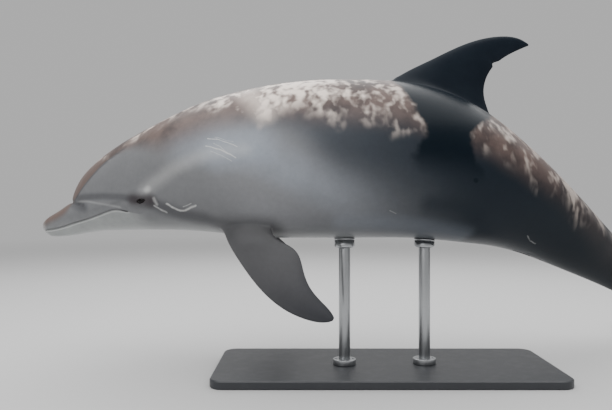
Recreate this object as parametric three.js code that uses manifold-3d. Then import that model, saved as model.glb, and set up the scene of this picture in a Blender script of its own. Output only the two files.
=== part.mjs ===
// Bottlenose dolphin: a life-size museum model, swimming in a gentle bend, on a display stand.
// Units are millimetres. +Z is up, the snout points to -X and the left flank faces -Y.
// The origin is the centre of the underside of the stand's base plate.
//
// The body is a loft along a curved spine. A station u runs from 0 at the tip of the snout to 1 at the
// notch of the tail. At each station a section is drawn round the spine: angle 0 is the back, a quarter
// turn is the left flank and half a turn is the belly.

import * as THREE from 'three';
import { mergeVertices } from 'three/addons/utils/BufferGeometryUtils.js';
import Module from 'manifold-3d';

const wasm = await Module();
wasm.setup();

// Overall sizes.
const BODY_LENGTH = 2500;
const GAP = 0.3;
const MERGE_DISTANCE = 1e-3;
const BODY_COLUMNS = 28;
const FIN_COLUMNS = 16;

// Where the spine passes the middle of the trunk.
const ANCHOR_STATION = 0.3945;
const ANCHOR_POINT = new THREE.Vector3(-85.7, -10, 632.8);
const SPINE_STEPS = 1000;

// Direction of the spine in degrees: pitch is nose-up to tail-down, yaw turns the tail to the right flank.
const SPINE_PITCH = [
	[0, -15], [0.08, -15], [0.16, -15], [0.24, -13], [0.32, -7], [0.4, -1], [0.48, 7],
	[0.56, 19], [0.64, 29], [0.72, 31], [0.8, 28], [0.88, 23], [0.95, 18], [1, 15],
];
const SPINE_YAW = [[0, -7], [0.2, -4], [0.4, 0], [0.55, 13], [0.7, 27], [0.85, 31], [1, 29]];

// Section sizes by station: half width, height above the spine and depth below it.
const HALF_WIDTH = [
	[0, 0], [0.004, 22], [0.01, 30], [0.02, 36], [0.03, 41], [0.04, 48], [0.05, 57], [0.06, 67],
	[0.08, 88], [0.1, 107], [0.12, 122], [0.15, 144], [0.19, 170], [0.24, 192], [0.28, 206],
	[0.32, 216], [0.36, 221], [0.4, 222], [0.44, 219], [0.48, 211], [0.52, 200], [0.56, 184],
	[0.6, 164], [0.64, 142], [0.68, 121], [0.72, 101], [0.76, 82], [0.8, 66], [0.84, 51],
	[0.88, 40], [0.92, 32], [0.96, 22], [1, 3],
];
const BACK_HEIGHT = [
	[0.12, 174.7], [0.15, 193.7], [0.19, 214.8], [0.24, 234.5], [0.28, 240], [0.32, 242],
	[0.36, 240], [0.4, 235.5], [0.44, 230.5], [0.48, 218], [0.52, 191], [0.56, 151], [0.6, 119],
	[0.64, 100], [0.68, 92], [0.72, 89.5], [0.76, 89.5], [0.8, 88], [0.85, 76], [0.9, 57],
	[0.94, 43], [0.97, 29], [1, 5],
];
const BELLY_DEPTH = [
	[0, 0], [0.004, 26.3], [0.008, 34.1], [0.014, 40], [0.02, 43.4], [0.03, 47.5], [0.045, 52.1],
	[0.07, 59.2], [0.1, 75.6], [0.15, 107.6], [0.19, 137.7], [0.24, 180], [0.28, 206],
	[0.32, 220.2], [0.36, 228.4], [0.4, 231.7], [0.44, 230.4], [0.48, 226.5], [0.52, 220],
	[0.56, 207], [0.6, 186], [0.64, 163.5], [0.68, 142], [0.72, 120.5], [0.76, 98.5], [0.8, 80],
	[0.85, 64], [0.9, 52], [0.94, 41], [0.97, 28], [1, 5],
];
const BEAK_HEIGHT = [
	[0, 0], [0.004, 14.5], [0.014, 26.2], [0.03, 37.2], [0.0425, 46.9], [0.06, 52], [0.08, 55],
	[0.12, 60], [0.2, 80], [0.4, 120], [1, 100],
];

// Roundness of a section: 2 is an ellipse, less is keeled, more is boxy.
const BACK_ROUNDNESS = [
	[0, 2.3], [0.05, 2.2], [0.12, 2.15], [0.3, 2.1], [0.5, 2.05], [0.6, 1.95], [0.7, 1.8],
	[0.8, 1.62], [0.9, 1.5], [1, 1.5],
];
const BELLY_ROUNDNESS = [
	[0, 2.3], [0.05, 2.3], [0.12, 2.3], [0.3, 2.15], [0.5, 2.1], [0.6, 2], [0.7, 1.8],
	[0.8, 1.62], [0.9, 1.5], [1, 1.5],
];

// The melon is the rounded forehead. It rises behind a crease at the root of the beak.
// Its height is given over the square root of the distance behind the crease.
const MELON_START = 0.0445;
const MELON_HEIGHT = [
	[0, 46], [0.0742, 73], [0.1245, 100.3], [0.1597, 120.4], [0.1884, 135.1], [0.2356, 157.5],
	[0.2748, 174.7], [0.3248, 193.7],
];
const MELON_SPREAD = 430;
const MELON_MIN_HALF_WIDTH = 4;
const MELON_JOINS_BACK = 0.13;
const MELON_FADE = [0.11, 0.16];
const CREASE_SOFTNESS = [4, 12];
const CREASE_LOOSENS = [0.05, 0.1];
const CREASE_OPENS_OVER = 0.01;
const SMALLEST_RADIUS = 0.5;

// Rings of the body loft: share of the rings used up by each station.
const BODY_RINGS = 54;
const RING_SPREAD = [
	[0, 0], [0.055, 0.006], [0.185, 0.0435], [0.315, 0.075], [0.463, 0.2], [0.852, 0.8], [1, 1],
];

// Where the body is parted into its nodes.
const BEAK_CUT = 0.0445;
const MOUTH_CORNER = 0.121;
const MOUTH_LEVEL = -19.6;
const HEAD_CUT = 0.19;
const CHEST_CUT = 0.385;
const TRUNK_CUT = 0.6;
const STOCK_CUT = 0.78;
const FLUKE_CUT = 0.915;

// Cutting blocks reach past the body on every side, in millimetres and in stations.
const BLOCK_REACH = 600;
const BLOCK_STEP = 0.02;
const PAST_SNOUT = -0.06;
const PAST_NOTCH = 1.2;
const FLUKE_REACH = 0.2;

// Eyes: a flattened ball set in the side of the head.
const EYE_STATION = 0.1467;
const EYE_ANGLE = 96.7;
const EYE_HALF_AXES = new THREE.Vector3(15, 9, 11);
const EYE_INSET = 5;
const EYE_COLUMNS = 14;
const EYE_ROWS = 8;

// Blowhole: a crescent slit across the top of the head.
const BLOWHOLE_STATION = 0.134;
const BLOWHOLE_RADIUS = 17;
const BLOWHOLE_WIDTH = 3.5;
const BLOWHOLE_DEPTH = 8;
const BLOWHOLE_HALF_TURN = 72;

// How far the rows of a fin are crowded towards its tip.
const TIP_CROWDING = 0.25;

// How much thinner a fin's back edge is than its front edge.
const BACK_EDGE_THINNING = 0.35;

// Dorsal fin edges, measured along and above the spine at the fin's station.
const FIN_STATION = 0.5;
const FIN_FRONT_EDGE = [
	[-205, 190], [-157, 252], [-57, 309], [43, 358], [120, 386], [200, 398], [250, 390], [277, 372],
];
const FIN_BACK_EDGE = [
	[165, 95], [148, 168], [132, 212], [138, 265], [166, 308], [216, 344], [258, 364], [277, 372],
];
const FIN_HALF_THICKNESS = [[0, 56], [0.15, 34], [0.3, 20], [0.55, 13], [0.8, 8], [1, 4]];
const FIN_ROOT_BEND = 3e-4;

// Flipper edges, measured along the span and towards the front edge from the root on the body.
const FLIPPER_STATION = 0.262;
const FLIPPER_ANGLE = 143;
const FLIPPER_FRONT_EDGE = [
	[-95, 74], [-45, 77], [30, 91], [105, 104], [188, 106], [256, 92], [309, 67], [340, 42], [351, 20],
];
const FLIPPER_BACK_EDGE = [
	[5, -30], [66, -24], [108, -35], [146, -43], [189, -21], [235, 3], [290, 10], [335, 13], [351, 20],
];
const FLIPPER_HALF_THICKNESS = [[0, 46], [0.13, 34], [0.28, 18], [0.5, 13], [0.8, 8], [1, 3.5]];
// Directions in the body's frame: along the body, out from it and up.
const LEFT_FLIPPER = { side: 1, span: [0.569, 0.255, -0.782], front: [-0.814, 0.043, -0.579] };
const RIGHT_FLIPPER = { side: -1, span: [0.13, 0.68, -0.72], front: [-0.96, -0.05, -0.22] };

// Fluke edges, measured back from the notch and out from the middle.
const FLUKE_STATION = 0.96;
const FLUKE_FRONT_EDGE = [
	[-215, 0], [-192, 30], [-158, 62], [-116, 110], [-70, 165], [-24, 220], [20, 264], [48, 290], [66, 300],
];
const FLUKE_BACK_EDGE = [
	[-8, 0], [10, 14], [24, 50], [30, 100], [34, 160], [41, 215], [50, 258], [59, 285], [66, 300],
];
const FLUKE_HALF_THICKNESS = [[0, 16], [0.2, 13], [0.5, 9], [0.8, 5.5], [1, 2.5]];
const FLUKE_DROOP = 1.5e-4;

// Rows of each fin's loft.
const FIN_ROWS = 14;
const FLUKE_ROWS = 28;

// Display stand.
const BASE_LENGTH = 1000;
const BASE_WIDTH = 400;
const BASE_THICKNESS = 24;
const BASE_CORNER = 40;
const BASE_CHAMFER = 3;
const ROD_SPACING = 240;
const ROD_RADIUS = 17;
const ROD_SIDES = 32;
const COLLAR_RADIUS = 34;
const COLLAR_HEIGHT = 16;
const CUP_RADIUS = 30;
const CUP_BOTTOM = 372;
const CUP_TOP = 560;

const skin = { roughness: 0.42, metalness: 0 };
const PALE_GREY = new THREE.MeshStandardMaterial({ color: 0x8b9396, ...skin });
const MID_GREY = new THREE.MeshStandardMaterial({ color: 0x6f7377, ...skin });
const DARK_GREY = new THREE.MeshStandardMaterial({ color: 0x3a4249, ...skin });
const EYE_BROWN = new THREE.MeshStandardMaterial({ color: 0x17120f, roughness: 0.08, metalness: 0 });
const STEEL = new THREE.MeshStandardMaterial({ color: 0xb4b7ba, roughness: 0.35, metalness: 1 });
const BASE_PAINT = new THREE.MeshStandardMaterial({ color: 0x2b2d30, roughness: 0.45, metalness: 0 });

// A natural cubic spline through [x, y] knots.
function spline(knots) {
	const last = knots.length - 1;
	const slope = (i) => (knots[i + 1][1] - knots[i][1]) / (knots[i + 1][0] - knots[i][0]);
	const upper = [0];
	const right = [0];
	for (let i = 1; i < last; i++) {
		const before = knots[i][0] - knots[i - 1][0];
		const after = knots[i + 1][0] - knots[i][0];
		const pivot = 2 * (before + after) - before * upper[i - 1];
		upper[i] = after / pivot;
		right[i] = (6 * (slope(i) - slope(i - 1)) - before * right[i - 1]) / pivot;
	}
	const bend = new Array(last + 1).fill(0);
	for (let i = last - 1; i > 0; i--) {
		bend[i] = right[i] - upper[i] * bend[i + 1];
	}
	return (x) => {
		let i = 0;
		while (i < last - 1 && x > knots[i + 1][0]) {
			i++;
		}
		const [x0, y0] = knots[i];
		const [x1, y1] = knots[i + 1];
		const width = x1 - x0;
		const a = x1 - x;
		const b = x - x0;
		const curved = (bend[i] * a ** 3 + bend[i + 1] * b ** 3) / (6 * width);
		const level = (y0 / width - (bend[i] * width) / 6) * a;
		return curved + level + (y1 / width - (bend[i + 1] * width) / 6) * b;
	};
}

// A spline over the square root of the station, which rounds off the snout.
function rootSpline(knots) {
	const curve = spline(knots.map(([u, y]) => [Math.sqrt(u), y]));
	return (u) => curve(Math.sqrt(Math.max(u, 0)));
}

// A smooth curve through 2-D points, by share of its length.
function edgeCurve(points) {
	const reach = [0];
	for (let i = 1; i < points.length; i++) {
		const [dx, dy] = [points[i][0] - points[i - 1][0], points[i][1] - points[i - 1][1]];
		reach.push(reach[i - 1] + Math.hypot(dx, dy));
	}
	const total = reach[reach.length - 1];
	const along = [0, 1].map((axis) => spline(points.map((p, i) => [reach[i] / total, p[axis]])));
	return (t) => [along[0](t), along[1](t)];
}

// Straight lines through [x, y] knots.
function linear(knots) {
	return (x) => {
		let i = 0;
		while (i < knots.length - 2 && x > knots[i + 1][0]) {
			i++;
		}
		const [x0, y0] = knots[i];
		const [x1, y1] = knots[i + 1];
		return y0 + ((y1 - y0) * (x - x0)) / (x1 - x0);
	};
}

const pitchAt = spline(SPINE_PITCH);
const yawAt = spline(SPINE_YAW);
const halfWidthAt = rootSpline(HALF_WIDTH);
const backHeightAt = spline(BACK_HEIGHT);
const bellyDepthAt = rootSpline(BELLY_DEPTH);
const beakHeightAt = rootSpline(BEAK_HEIGHT);
const backRoundnessAt = spline(BACK_ROUNDNESS);
const bellyRoundnessAt = spline(BELLY_ROUNDNESS);
const melonHeightAt = spline(MELON_HEIGHT);
const ringStationAt = linear(RING_SPREAD);

// Unit vectors of the spine at a station: back along the body, out to the right flank, and up.
function directions(u) {
	const pitch = THREE.MathUtils.degToRad(pitchAt(u));
	const yaw = THREE.MathUtils.degToRad(yawAt(u));
	const along = new THREE.Vector3(
		Math.cos(yaw) * Math.cos(pitch),
		Math.sin(yaw) * Math.cos(pitch),
		-Math.sin(pitch),
	);
	const right = new THREE.Vector3(-Math.sin(yaw), Math.cos(yaw), 0);
	const up = new THREE.Vector3().crossVectors(along, right);
	return { along, right, up };
}

// Points of the spine at even steps, shifted so that it passes through the anchor.
function spinePoints() {
	const step = 1 / SPINE_STEPS;
	const points = [new THREE.Vector3()];
	for (let k = 0; k < SPINE_STEPS; k++) {
		const half = directions((k + 0.5) * step).along;
		points.push(points[k].clone().addScaledVector(half, step * BODY_LENGTH));
	}
	const anchor = sampleSpine(points, ANCHOR_STATION);
	return points.map((point) => point.sub(anchor).add(ANCHOR_POINT));
}

function sampleSpine(points, u) {
	const place = THREE.MathUtils.clamp(u, 0, 1) * SPINE_STEPS;
	const k = Math.min(Math.floor(place), SPINE_STEPS - 1);
	return new THREE.Vector3().lerpVectors(points[k], points[k + 1], place - k);
}

const SPINE = spinePoints();

// The spine's point and directions, carried on straight beyond both ends.
function frameAt(u) {
	const held = THREE.MathUtils.clamp(u, 0, 1);
	const frame = directions(held);
	frame.origin = sampleSpine(SPINE, held).addScaledVector(frame.along, (u - held) * BODY_LENGTH);
	return frame;
}

function fromFrame({ origin, along, right, up }, back, toRight, rise) {
	const point = origin.clone().addScaledVector(along, back);
	return point.addScaledVector(right, toRight).addScaledVector(up, rise);
}

function quarterSection(sine, cosine, halfWidth, height, roundness) {
	const sum = (Math.abs(sine) / halfWidth) ** roundness + (Math.abs(cosine) / height) ** roundness;
	return sum ** (-1 / roundness);
}

function smoothMax(a, b, softness) {
	const share = Math.max(softness - Math.abs(a - b), 0) / softness;
	return Math.max(a, b) + (share * share * softness) / 4;
}

// Distance from the spine to the skin, for a station and an angle in radians from the back.
function bodyRadius(u, angle) {
	const sine = Math.sin(angle);
	const cosine = Math.cos(angle);
	const halfWidth = Math.max(halfWidthAt(u), SMALLEST_RADIUS);
	if (cosine <= 0) {
		const depth = Math.max(bellyDepthAt(u), SMALLEST_RADIUS);
		return quarterSection(sine, cosine, halfWidth, depth, bellyRoundnessAt(u));
	}
	const roundness = backRoundnessAt(u);
	const beakHeight = Math.max(beakHeightAt(u), SMALLEST_RADIUS);
	const beak = quarterSection(sine, cosine, halfWidth, beakHeight, roundness);
	if (u <= MELON_START) {
		return beak;
	}
	const behind = Math.sqrt(u - MELON_START);
	const height = u < MELON_JOINS_BACK ? melonHeightAt(behind) : backHeightAt(u);
	const melonWidth = Math.min(MELON_SPREAD * behind + MELON_MIN_HALF_WIDTH, halfWidth);
	const melon = quarterSection(sine, cosine, melonWidth, height, roundness);
	const whole = quarterSection(sine, cosine, halfWidth, height, roundness);
	const [tight, loose] = CREASE_SOFTNESS;
	const loosened = THREE.MathUtils.smoothstep(u, ...CREASE_LOOSENS);
	const opened = THREE.MathUtils.smoothstep(u, MELON_START, MELON_START + CREASE_OPENS_OVER);
	const softness = opened * THREE.MathUtils.lerp(tight, loose, loosened);
	const head = smoothMax(beak, melon, Math.max(softness, SMALLEST_RADIUS));
	return THREE.MathUtils.lerp(head, whole, THREE.MathUtils.smoothstep(u, ...MELON_FADE));
}

// A point on the skin, or a little outside it.
function skinPoint(u, angle, outside = 0) {
	const radius = bodyRadius(u, angle) + outside;
	return fromFrame(frameAt(u), 0, -radius * Math.sin(angle), radius * Math.cos(angle));
}

// A closed ball of rings and columns whose points are laid anew by place(row, column).
function shapedBall(rows, columns, place) {
	const ball = new THREE.SphereGeometry(1, columns, rows);
	const position = ball.attributes.position;
	for (let row = 0; row <= rows; row++) {
		for (let column = 0; column <= columns; column++) {
			const point = place(row, column % columns);
			position.setXYZ(row * (columns + 1) + column, point.x, point.y, point.z);
		}
	}
	return ball;
}

function toSolid(geometry) {
	const bare = geometry.clone();
	bare.deleteAttribute('normal');
	bare.deleteAttribute('uv');
	const merged = mergeVertices(bare, MERGE_DISTANCE);
	const vertProperties = Float32Array.from(merged.attributes.position.array);
	const triVerts = Uint32Array.from(merged.index.array);
	if (signedVolume(vertProperties, triVerts) < 0) {
		triVerts.reverse();
	}
	return new wasm.Manifold(new wasm.Mesh({ numProp: 3, vertProperties, triVerts }));
}

function signedVolume(points, triangles) {
	let total = 0;
	const corners = [0, 1, 2].map(() => new THREE.Vector3());
	for (let i = 0; i < triangles.length; i += 3) {
		corners.forEach((corner, k) => corner.fromArray(points, 3 * triangles[i + k]));
		total += corners[0].dot(corners[1].clone().cross(corners[2])) / 6;
	}
	return total;
}

function toMesh(name, solid, material) {
	const { vertProperties, triVerts } = solid.getMesh();
	const geometry = new THREE.BufferGeometry();
	geometry.setAttribute('position', new THREE.BufferAttribute(new Float32Array(vertProperties), 3));
	geometry.setIndex(new THREE.BufferAttribute(new Uint32Array(triVerts), 1));
	geometry.computeVertexNormals();
	const mesh = new THREE.Mesh(geometry, material);
	mesh.name = name;
	return mesh;
}

// The largest piece of a solid that a cut has parted.
function largest(solid) {
	return solid.decompose().sort((a, b) => b.volume() - a.volume())[0];
}

// The whole body from snout to notch, with its skin moved out by a small distance.
function bodyLoft(outside = 0) {
	const place = (row, column) => {
		const share = row / BODY_RINGS;
		const u = ringStationAt(share);
		const end = row === 0 || row === BODY_RINGS;
		if (end) {
			return fromFrame(frameAt(u), share > 0.5 ? outside : -outside, 0, 0);
		}
		return skinPoint(u, (column / BODY_COLUMNS) * 2 * Math.PI, outside);
	};
	return toSolid(shapedBall(BODY_RINGS, BODY_COLUMNS, place));
}

// A block that follows the spine from one station to another, between two levels.
function spineBlock(from, to, low = -BLOCK_REACH, high = BLOCK_REACH, halfWidth = BLOCK_REACH) {
	const steps = Math.max(1, Math.ceil((to - from) / BLOCK_STEP));
	const block = new THREE.BoxGeometry(1, 1, 1, steps, 1, 1);
	const position = block.attributes.position;
	for (let i = 0; i < position.count; i++) {
		const u = THREE.MathUtils.lerp(from, to, position.getX(i) + 0.5);
		const side = 2 * halfWidth * position.getY(i);
		const level = THREE.MathUtils.lerp(low, high, position.getZ(i) + 0.5);
		const point = fromFrame(frameAt(u), 0, side, level);
		position.setXYZ(i, point.x, point.y, point.z);
	}
	return toSolid(block);
}

// A fin with a rounded front edge and a thin back edge, lofted from its root to its tip.
// lay(a, b, thickness, t) turns the two edge coordinates and the thickness into a point.
function finLoft({ front, back, halfThickness, rows, lay, from = 0 }) {
	const frontEdge = edgeCurve(front);
	const backEdge = edgeCurve(back);
	const thicknessAt = spline(halfThickness);
	const place = (row, column) => {
		const even = THREE.MathUtils.lerp(from, 1, row / rows);
		const t = even * (1 + TIP_CROWDING * (1 - Math.abs(even)));
		const reach = Math.abs(t);
		const [a0, b0] = frontEdge(reach);
		const [a1, b1] = backEdge(reach);
		const angle = (column / FIN_COLUMNS) * 2 * Math.PI;
		const end = row === 0 || row === rows;
		const chord = end ? 0.5 : (1 - Math.cos(angle)) / 2;
		const taper = 1 - BACK_EDGE_THINNING * chord;
		const half = end ? 0 : thicknessAt(reach) * Math.sin(angle) * taper;
		return lay(a0 + (a1 - a0) * chord, b0 + (b1 - b0) * chord, half, t);
	};
	return toSolid(shapedBall(rows, FIN_COLUMNS, place));
}

function dorsalFin() {
	const { origin } = frameAt(FIN_STATION);
	const yaw = THREE.MathUtils.degToRad(yawAt(FIN_STATION));
	const along = new THREE.Vector3(Math.cos(yaw), Math.sin(yaw), 0);
	const right = new THREE.Vector3(-Math.sin(yaw), Math.cos(yaw), 0);
	const frame = { origin, along, right, up: new THREE.Vector3(0, 0, 1) };
	const lay = (back, rise, half, t) => {
		const bend = FIN_ROOT_BEND * back * back * (1 - t);
		return fromFrame(frame, back, bend + half, rise);
	};
	return finLoft({
		front: FIN_FRONT_EDGE,
		back: FIN_BACK_EDGE,
		halfThickness: FIN_HALF_THICKNESS,
		rows: FIN_ROWS,
		lay,
	});
}

function flipper({ side, span, front }) {
	const frame = frameAt(FLIPPER_STATION);
	const root = skinPoint(FLIPPER_STATION, side * THREE.MathUtils.degToRad(FLIPPER_ANGLE));
	const turned = ([along, out, up]) => {
		return fromFrame({ ...frame, origin: new THREE.Vector3() }, along, -side * out, up).normalize();
	};
	const spanDirection = turned(span);
	const frontDirection = turned(front);
	frontDirection.addScaledVector(spanDirection, -frontDirection.dot(spanDirection)).normalize();
	const face = new THREE.Vector3().crossVectors(spanDirection, frontDirection);
	const lay = (reach, forward, half) => {
		const point = root.clone().addScaledVector(spanDirection, reach);
		return point.addScaledVector(frontDirection, forward).addScaledVector(face, half);
	};
	return finLoft({
		front: FLIPPER_FRONT_EDGE,
		back: FLIPPER_BACK_EDGE,
		halfThickness: FLIPPER_HALF_THICKNESS,
		rows: FIN_ROWS,
		lay,
	});
}

// Both flukes as one wing from tip to tip.
function flukes() {
	const frame = frameAt(FLUKE_STATION);
	frame.origin = frameAt(1).origin;
	const lay = (back, out, half, t) => {
		return fromFrame(frame, back, -Math.sign(t) * out, half - FLUKE_DROOP * out * out);
	};
	return finLoft({
		front: FLUKE_FRONT_EDGE,
		back: FLUKE_BACK_EDGE,
		halfThickness: FLUKE_HALF_THICKNESS,
		rows: FLUKE_ROWS,
		from: -1,
		lay,
	});
}

function eyeball(side, outside = 0) {
	const frame = frameAt(EYE_STATION);
	const angle = side * THREE.MathUtils.degToRad(EYE_ANGLE);
	const radius = bodyRadius(EYE_STATION, angle) - EYE_INSET;
	const centre = fromFrame(frame, 0, -radius * Math.sin(angle), radius * Math.cos(angle));
	const ball = new THREE.SphereGeometry(1, EYE_COLUMNS, EYE_ROWS);
	const size = EYE_HALF_AXES.clone().addScalar(outside);
	const basis = new THREE.Matrix4().makeBasis(frame.along, frame.right, frame.up);
	ball.scale(size.x, size.y, size.z).applyMatrix4(basis).translate(...centre);
	return toSolid(ball);
}

// A crescent bar that sinks into the top of the head, open towards the snout.
function blowholeSlit() {
	const frame = frameAt(BLOWHOLE_STATION);
	const outer = BLOWHOLE_RADIUS + BLOWHOLE_WIDTH / 2;
	const inner = BLOWHOLE_RADIUS - BLOWHOLE_WIDTH / 2;
	const crescent = new THREE.Shape();
	const turn = THREE.MathUtils.degToRad(BLOWHOLE_HALF_TURN);
	crescent.absarc(0, 0, outer, -turn, turn, false);
	crescent.absarc(0, 0, inner, turn, -turn, true);
	const bar = new THREE.ExtrudeGeometry(crescent, {
		depth: BLOWHOLE_DEPTH * 2,
		bevelEnabled: false,
		curveSegments: 10,
	});
	const basis = new THREE.Matrix4().makeBasis(frame.along, frame.right, frame.up);
	const top = fromFrame(frame, 0, 0, bodyRadius(BLOWHOLE_STATION, 0) - BLOWHOLE_DEPTH);
	bar.applyMatrix4(basis).translate(...top);
	return toSolid(bar);
}

// Stretch of the body between two stations, kept half a gap short of each.
function bodyStretch(body, from, to) {
	const margin = GAP / 2 / BODY_LENGTH;
	return body.intersect(spineBlock(from + margin, to - margin));
}

// The head parted along the mouth, across the root of the beak and behind the corner of the mouth.
function headPieces(body, eyeSockets) {
	const half = GAP / 2;
	const margin = half / BODY_LENGTH;
	const mouth = spineBlock(PAST_SNOUT, MOUTH_CORNER, MOUTH_LEVEL - half, MOUTH_LEVEL + half);
	const beakRoot = spineBlock(BEAK_CUT - margin, BEAK_CUT + margin, MOUTH_LEVEL);
	const jawTop = MOUTH_LEVEL + half;
	const jawEnd = spineBlock(MOUTH_CORNER - margin, MOUTH_CORNER + margin, -BLOCK_REACH, jawTop);
	const front = bodyStretch(body, PAST_SNOUT, HEAD_CUT);
	const parted = front.subtract(mouth).subtract(beakRoot).subtract(jawEnd);
	const [head, lowerJaw, beak] = parted.decompose().sort((a, b) => b.volume() - a.volume());
	return {
		beak_upper: beak,
		lower_jaw: lowerJaw,
		head: largest(head.subtract(eyeSockets).subtract(blowholeSlit())),
	};
}

function flukePieces(body) {
	const tailEnd = bodyStretch(body, FLUKE_CUT, PAST_NOTCH);
	const start = FLUKE_CUT - FLUKE_REACH;
	const ahead = spineBlock(start, FLUKE_CUT + GAP / 2 / BODY_LENGTH);
	const whole = tailEnd.add(flukes().subtract(ahead));
	const slit = spineBlock(start, PAST_NOTCH, -BLOCK_REACH, BLOCK_REACH, GAP / 2);
	const halves = whole.subtract(slit).decompose().sort((a, b) => b.volume() - a.volume());
	const { origin, right } = frameAt(FLUKE_STATION);
	const sideOf = (solid) => {
		const { min, max } = solid.boundingBox();
		const middle = new THREE.Vector3(...min).add(new THREE.Vector3(...max)).divideScalar(2);
		return middle.sub(origin).dot(right);
	};
	const [leftHalf, rightHalf] = halves.slice(0, 2).sort((a, b) => sideOf(a) - sideOf(b));
	return { fluke_left: leftHalf, fluke_right: rightHalf };
}

function upright(x, y, radius, bottom, top, sides) {
	const column = new THREE.CylinderGeometry(radius, radius, top - bottom, sides);
	return toSolid(column.rotateX(Math.PI / 2).translate(x, y, (bottom + top) / 2));
}

function standBase() {
	const inset = BASE_CHAMFER;
	const x = BASE_LENGTH / 2 - inset;
	const y = BASE_WIDTH / 2 - inset;
	const r = BASE_CORNER - inset;
	const outline = new THREE.Shape();
	outline.absarc(x - r, y - r, r, 0, Math.PI / 2, false);
	outline.absarc(-x + r, y - r, r, Math.PI / 2, Math.PI, false);
	outline.absarc(-x + r, -y + r, r, Math.PI, Math.PI * 1.5, false);
	outline.absarc(x - r, -y + r, r, Math.PI * 1.5, Math.PI * 2, false);
	const plate = new THREE.ExtrudeGeometry(outline, {
		depth: BASE_THICKNESS - 2 * inset,
		bevelThickness: inset,
		bevelSize: inset,
		bevelSegments: 1,
		curveSegments: 5,
	});
	return toSolid(plate.translate(0, 0, inset));
}

// Floor collar, rod and cup under the belly at one place along the base.
function standLeg(x, y, grownBody) {
	const floor = BASE_THICKNESS + GAP;
	const bore = upright(x, y, ROD_RADIUS + GAP, 0, CUP_BOTTOM, ROD_SIDES);
	const collar = upright(x, y, COLLAR_RADIUS, floor, floor + COLLAR_HEIGHT, ROD_SIDES);
	const cup = upright(x, y, CUP_RADIUS, CUP_BOTTOM, CUP_TOP, ROD_SIDES);
	return {
		rod: upright(x, y, ROD_RADIUS, floor, CUP_BOTTOM - GAP, ROD_SIDES),
		collar: collar.subtract(bore),
		cup: lowest(cup.subtract(grownBody)),
	};
}

function lowest(solid) {
	return solid.decompose().sort((a, b) => a.boundingBox().min[2] - b.boundingBox().min[2])[0];
}

// The spine's sideways place above a point of the base.
function spineSide(x) {
	const nearest = SPINE.reduce((a, b) => (Math.abs(a.x - x) < Math.abs(b.x - x) ? a : b));
	return nearest.y;
}

const body = bodyLoft();
const grownBody = bodyLoft(GAP);
const eyes = { eye_left: eyeball(1), eye_right: eyeball(-1) };
const eyeSockets = eyeball(1, GAP).add(eyeball(-1, GAP));

const group = new THREE.Group();
const headParts = headPieces(body, eyeSockets);
group.add(toMesh('beak_upper', headParts.beak_upper, MID_GREY));
group.add(toMesh('lower_jaw', headParts.lower_jaw, PALE_GREY));
group.add(toMesh('head', headParts.head, MID_GREY));
group.add(toMesh('eye_left', eyes.eye_left, EYE_BROWN));
group.add(toMesh('eye_right', eyes.eye_right, EYE_BROWN));
group.add(toMesh('chest', largest(bodyStretch(body, HEAD_CUT, CHEST_CUT)), MID_GREY));
group.add(toMesh('trunk', largest(bodyStretch(body, CHEST_CUT, TRUNK_CUT)), DARK_GREY));
group.add(toMesh('tail_stock_front', largest(bodyStretch(body, TRUNK_CUT, STOCK_CUT)), DARK_GREY));
group.add(toMesh('tail_stock_rear', largest(bodyStretch(body, STOCK_CUT, FLUKE_CUT)), DARK_GREY));
for (const [name, solid] of Object.entries(flukePieces(body))) {
	group.add(toMesh(name, solid, DARK_GREY));
}
group.add(toMesh('dorsal_fin', largest(dorsalFin().subtract(grownBody)), DARK_GREY));
group.add(toMesh('flipper_left', largest(flipper(LEFT_FLIPPER).subtract(grownBody)), MID_GREY));
group.add(toMesh('flipper_right', largest(flipper(RIGHT_FLIPPER).subtract(grownBody)), MID_GREY));

group.add(toMesh('stand_base', standBase(), BASE_PAINT));
for (const [end, x] of [['front', -ROD_SPACING / 2], ['rear', ROD_SPACING / 2]]) {
	const leg = standLeg(x, spineSide(x), grownBody);
	group.add(toMesh(`stand_rod_${end}`, leg.rod, STEEL));
	group.add(toMesh(`stand_collar_${end}`, leg.collar, STEEL));
	group.add(toMesh(`stand_cup_${end}`, leg.cup, STEEL));
}

export default group;
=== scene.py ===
"""Bottlenose dolphin on a display stand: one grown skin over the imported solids, eyes, stand and studio.

Lengths are metres. The snout points to -X, the left flank faces -Y and +Z is up. A station u runs along the
curved spine, from 0 at the snout to 1 at the notch of the tail. Angle 0 of a section is the back, a quarter
turn is the left flank and half a turn is the belly.
"""

import math

import bmesh
import bpy
import numpy as np
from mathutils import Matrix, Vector
from mathutils.bvhtree import BVHTree
from bpy.props import FloatProperty, FloatVectorProperty, IntProperty, PointerProperty


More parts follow.
